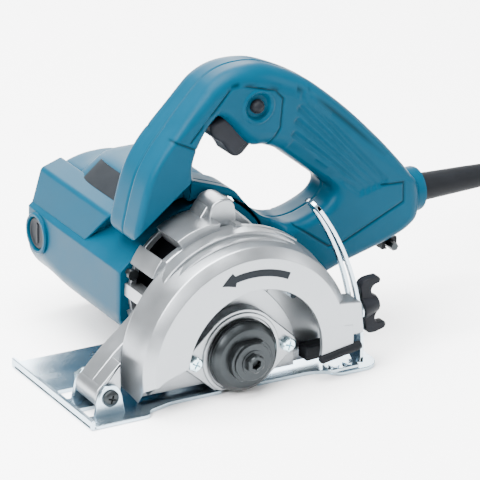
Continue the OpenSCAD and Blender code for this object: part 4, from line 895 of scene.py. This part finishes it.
flutes = [((55.5, 157), (111, 96)), ((53.6, 150), (107, 95)), ((51.8, 142.6), (103, 94)),
          ((50, 135), (99, 93)), ((48.4, 128), (95, 92.2))]
lock_panel = [(-16.5, 141.5), (9, 169.5), (12, 170.5), (37, 163.5), (42, 158), (40.6, 141), (34, 131)]
grooves = [lock_panel, [(109, 94), (123.6, 93.4), (124, 81.5), (84, 63.5), (74, 62.7), (52, 79)],
           [(-41, 136), (-29, 144.4), (-11.5, 135.5)], [(52, 161.5), (60, 159), (112, 112)]]
lock_at = (26.2, 155.6)


def closed_through(points, n):
    """n points along a smooth closed line through the given points (periodic Catmull-Rom)."""
    p = np.asarray(points, float)
    p = p.reshape(len(p), -1)
    line = through(np.vstack([p[-3:], p, p[:3]]), 40)[3 * 40:(3 + len(p)) * 40]
    at = np.linspace(0, len(line), n, endpoint=False)
    ends = np.vstack([line, line[:1]])
    return np.column_stack([np.interp(at, np.arange(len(ends)), ends[:, k]) for k in range(p.shape[1])])


def to_line(x, z, line):
    """Distance from each point to a line of straight stretches."""
    best = np.full(x.shape, 1e9)
    for (ax, az), (bx, bz) in zip(line[:-1], line[1:]):
        dx, dz = bx - ax, bz - az
        t = np.clip(((x - ax) * dx + (z - az) * dz) / (dx * dx + dz * dz), 0, 1)
        best = np.minimum(best, np.hypot(x - ax - t * dx, z - az - t * dz))
    return best


def relief(x, z, lock):
    """How deep the handle's side is cut at a point: flutes 1.5 mm deep that fade at their ends,
    fine grooves of 0.6 mm and, on the blade side, the dished seat of the lock button."""
    depth = np.zeros(x.shape)
    for a, b in flutes:
        depth += 1.5 * ease(1 - to_line(x, z, [a, b]) / 3.3)
    for line in grooves if lock else grooves[1:]:
        depth += 0.6 * ease(1.25 - to_line(x, z, line) / 1.0)
    if lock:
        r = np.hypot(x - lock_at[0], z - lock_at[1])
        depth += 2.2 * ease((8.2 - r) / 1.6) - 0.7 * ease(1 - np.abs(r - 9.2) / 1.6)
    return depth


around = 820
outer_line, inner_line = closed_through(handle_outer, around), closed_through(handle_inner, around)
edge_line = closed_through(edge_r, around)[:, 0]
across = outer_line - inner_line
width = np.linalg.norm(across, axis=1)
across /= width[:, None]
quarter = np.linspace(0, np.pi / 2, 8)
handle_halves = []
for name, way in (("handle_blade_side", -1), ("handle_motor_side", 1)):
    ro = np.minimum(edge_line, 0.45 * width)[:, None]
    ri = np.minimum(0.75 * edge_line + 1, 0.4 * width)[:, None]
    w = width[:, None]
    # section of one half, from the inner edge at the joint face round to the outer one
    rise = np.linspace(0.15, 1, 6)[None, :]
    face = np.linspace(0, 1, 88)[None, 1:-1]
    s = np.hstack([0 * w + 0.8, 0 * w, 0 * w * rise, ri * (1 - np.cos(quarter)),
                   ri + (w - ri - ro) * face, w - ro + ro * np.sin(quarter), 0 * w * rise + w, w, w - 0.8])
    y = np.hstack([0 * w + 0.1, 0 * w + 0.9, (half_w - ri) * rise, half_w - ri + ri * np.sin(quarter),
                   half_w + 0 * face * w, half_w - ro + ro * np.cos(quarter), (half_w - ro) * rise[:, ::-1],
                   0 * w + 0.9, 0 * w + 0.1])
    x = inner_line[:, :1] + s * across[:, :1]
    z = inner_line[:, 1:] + s * across[:, 1:]
    y = y - relief(x, z, way < 0) * ease((y - half_w + 8) / 5)
    if way < 0:
        # behind the castings the side is set back, and the front leg ends on a slope
        y *= 1 - 0.62 * ease((x + 15) / 4) * ease((48 - x) / 7) * ease((121 - z) / 5)
        foot = 92 + 0.788 * (x + 49) - 0.75 * (half_w - y)
        z = np.where(x < -12, np.maximum(z, foot), z)
    ring = np.stack([x, handle_mid + way * y, z], -1)
    shape = shell(name, ring, wrap=True, sharp=40)
    if way > 0:
        sleeve = [(126, 12.5), (128, 13.3), (141, 13.3), (142.6, 12.8), (143, 12), (143, 9.2), (130, 9.2)]
        shape = join(name, shape, shell("sleeve", [ring_about_x(a, r) for a, r in sleeve]))
    co = np.zeros(len(shape.data.vertices) * 3)
    shape.data.vertices.foreach_get("co", co)
    co = co.reshape(-1, 3) * 1000 + seat_to_origin
    # painted shade for the grooves: points within about a millimetre of a groove line, on the side face only,
    # get up to 0.85 of the darker teal
    lines_here = grooves if way < 0 else grooves[1:]
    dark = np.max([ease(1.1 - to_line(co[:, 0], co[:, 2], line) / 0.9) for line in lines_here], axis=0)
    dark *= 0.85 * ease(((co[:, 1] - handle_mid) * way - half_w + 8) / 5)
    groove_shade_mark = shape.data.attributes.new("groove_shade", "FLOAT", "POINT")
    groove_shade_mark.data.foreach_set("value", dark.astype(np.float32))
    shape.data.materials.append(teal)
    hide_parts(name)
    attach(shape, "tool")
    handle_halves.append(shape)

# ---------------------------------------------------------------------------
# Trigger and lock button. Moulded in dark nylon: the trigger's finger face is
# dished, and the button is a small domed plunger in its recess.
trigger_line = rounded([(1, 147), (0.5, 141), (4, 136.6), (8.6, 134), (11.4, 130), (13.6, 126),
                        (17.4, 124.2),
                        (21, 125.4), (29, 133.6), (30, 137), (9.4, 149.8)],
                       [3, 3, 4, 4, 3, 2, 2, 2, 2, 2, 3], 8)
trigger = block("trigger", trigger_line, handle_mid - 9, handle_mid + 9, 2.2)
# slate nylon: blue-grey, with a dull, finger-worn face
trigger_nylon = finish_of("slate_nylon", "#1A1C20", "#222429", 8, 0.35, 0.42, 0.05, 0.014)
trigger.data.materials.append(trigger_nylon)
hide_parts("trigger")
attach(trigger, "trigger")
lock_button = spun("lock_button", [(37.4, 4.1), (33.6, 4.2), (32, 4.0), (30.6, 3.4), (29.6, 2.3), (29.1, 1.0),
                                   (29.0, 0.1)], np.array([26.0, 155.5]), 48)
lock_button.data.materials.append(nylon)
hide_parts("lock_button")
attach(lock_button, "lock_button")

# ---------------------------------------------------------------------------
# The pieces that stay as the CAD made them: those inside, and small fasteners.
# Each takes the finish of what it is.
# ground steel: bright and even, on shafts, gears and bearings
ground_steel = finish_of("ground_steel", "#9CA1A6", "#B0B4B8", 6, 0.4, 0.25, 0.05, 0.003, metal=1.0)
# enamelled copper wire: red-brown and slightly metallic
copper = finish_of("enamelled_copper", "#8A4420", "#A4562C", 5, 0.5, 0.35, 0.06, 0.03, metal=0.8)
# stacked iron sheet: dull grey, streaked across the stack
iron = finish_of("stacked_iron_sheet", "#4C4F52", "#606366", 5, 0.6, 0.45, 0.06, 0.02, metal=0.9,
                 stretch=(0.1, 1, 0.1))
# pressed graphite: matt black-grey
graphite = finish_of("pressed_graphite", "#1C1C1E", "#28282A", 3, 0.3, 0.55, 0.05, 0.01)
# drawn brass wire: yellow and bright
spring_brass = finish_of("drawn_brass", "#A5844A", "#BC9A5C", 3, 0.3, 0.28, 0.05, 0.004, metal=1.0)
wear = {"zinc_steel": bright_zinc, "black_steel": black_steel, "bearing_steel": ground_steel,
        "cast_aluminium": cast, "black_rubber": rubber, "teal_plastic": teal, "plate_film": film,
        "dark_plastic": nylon, "carbon": graphite, "spring_brass": spring_brass, "core_iron": iron,
        "copper": copper}
slots = {s["node"]: s["material_slot"] for s in frame["record"]["subparts"]}
for node_name, cad_piece in frame["nodes"].items():
    if not cad_piece.hide_render:
        cad_piece.data.materials.clear()
        cad_piece.data.materials.append(wear[slots[node_name]])
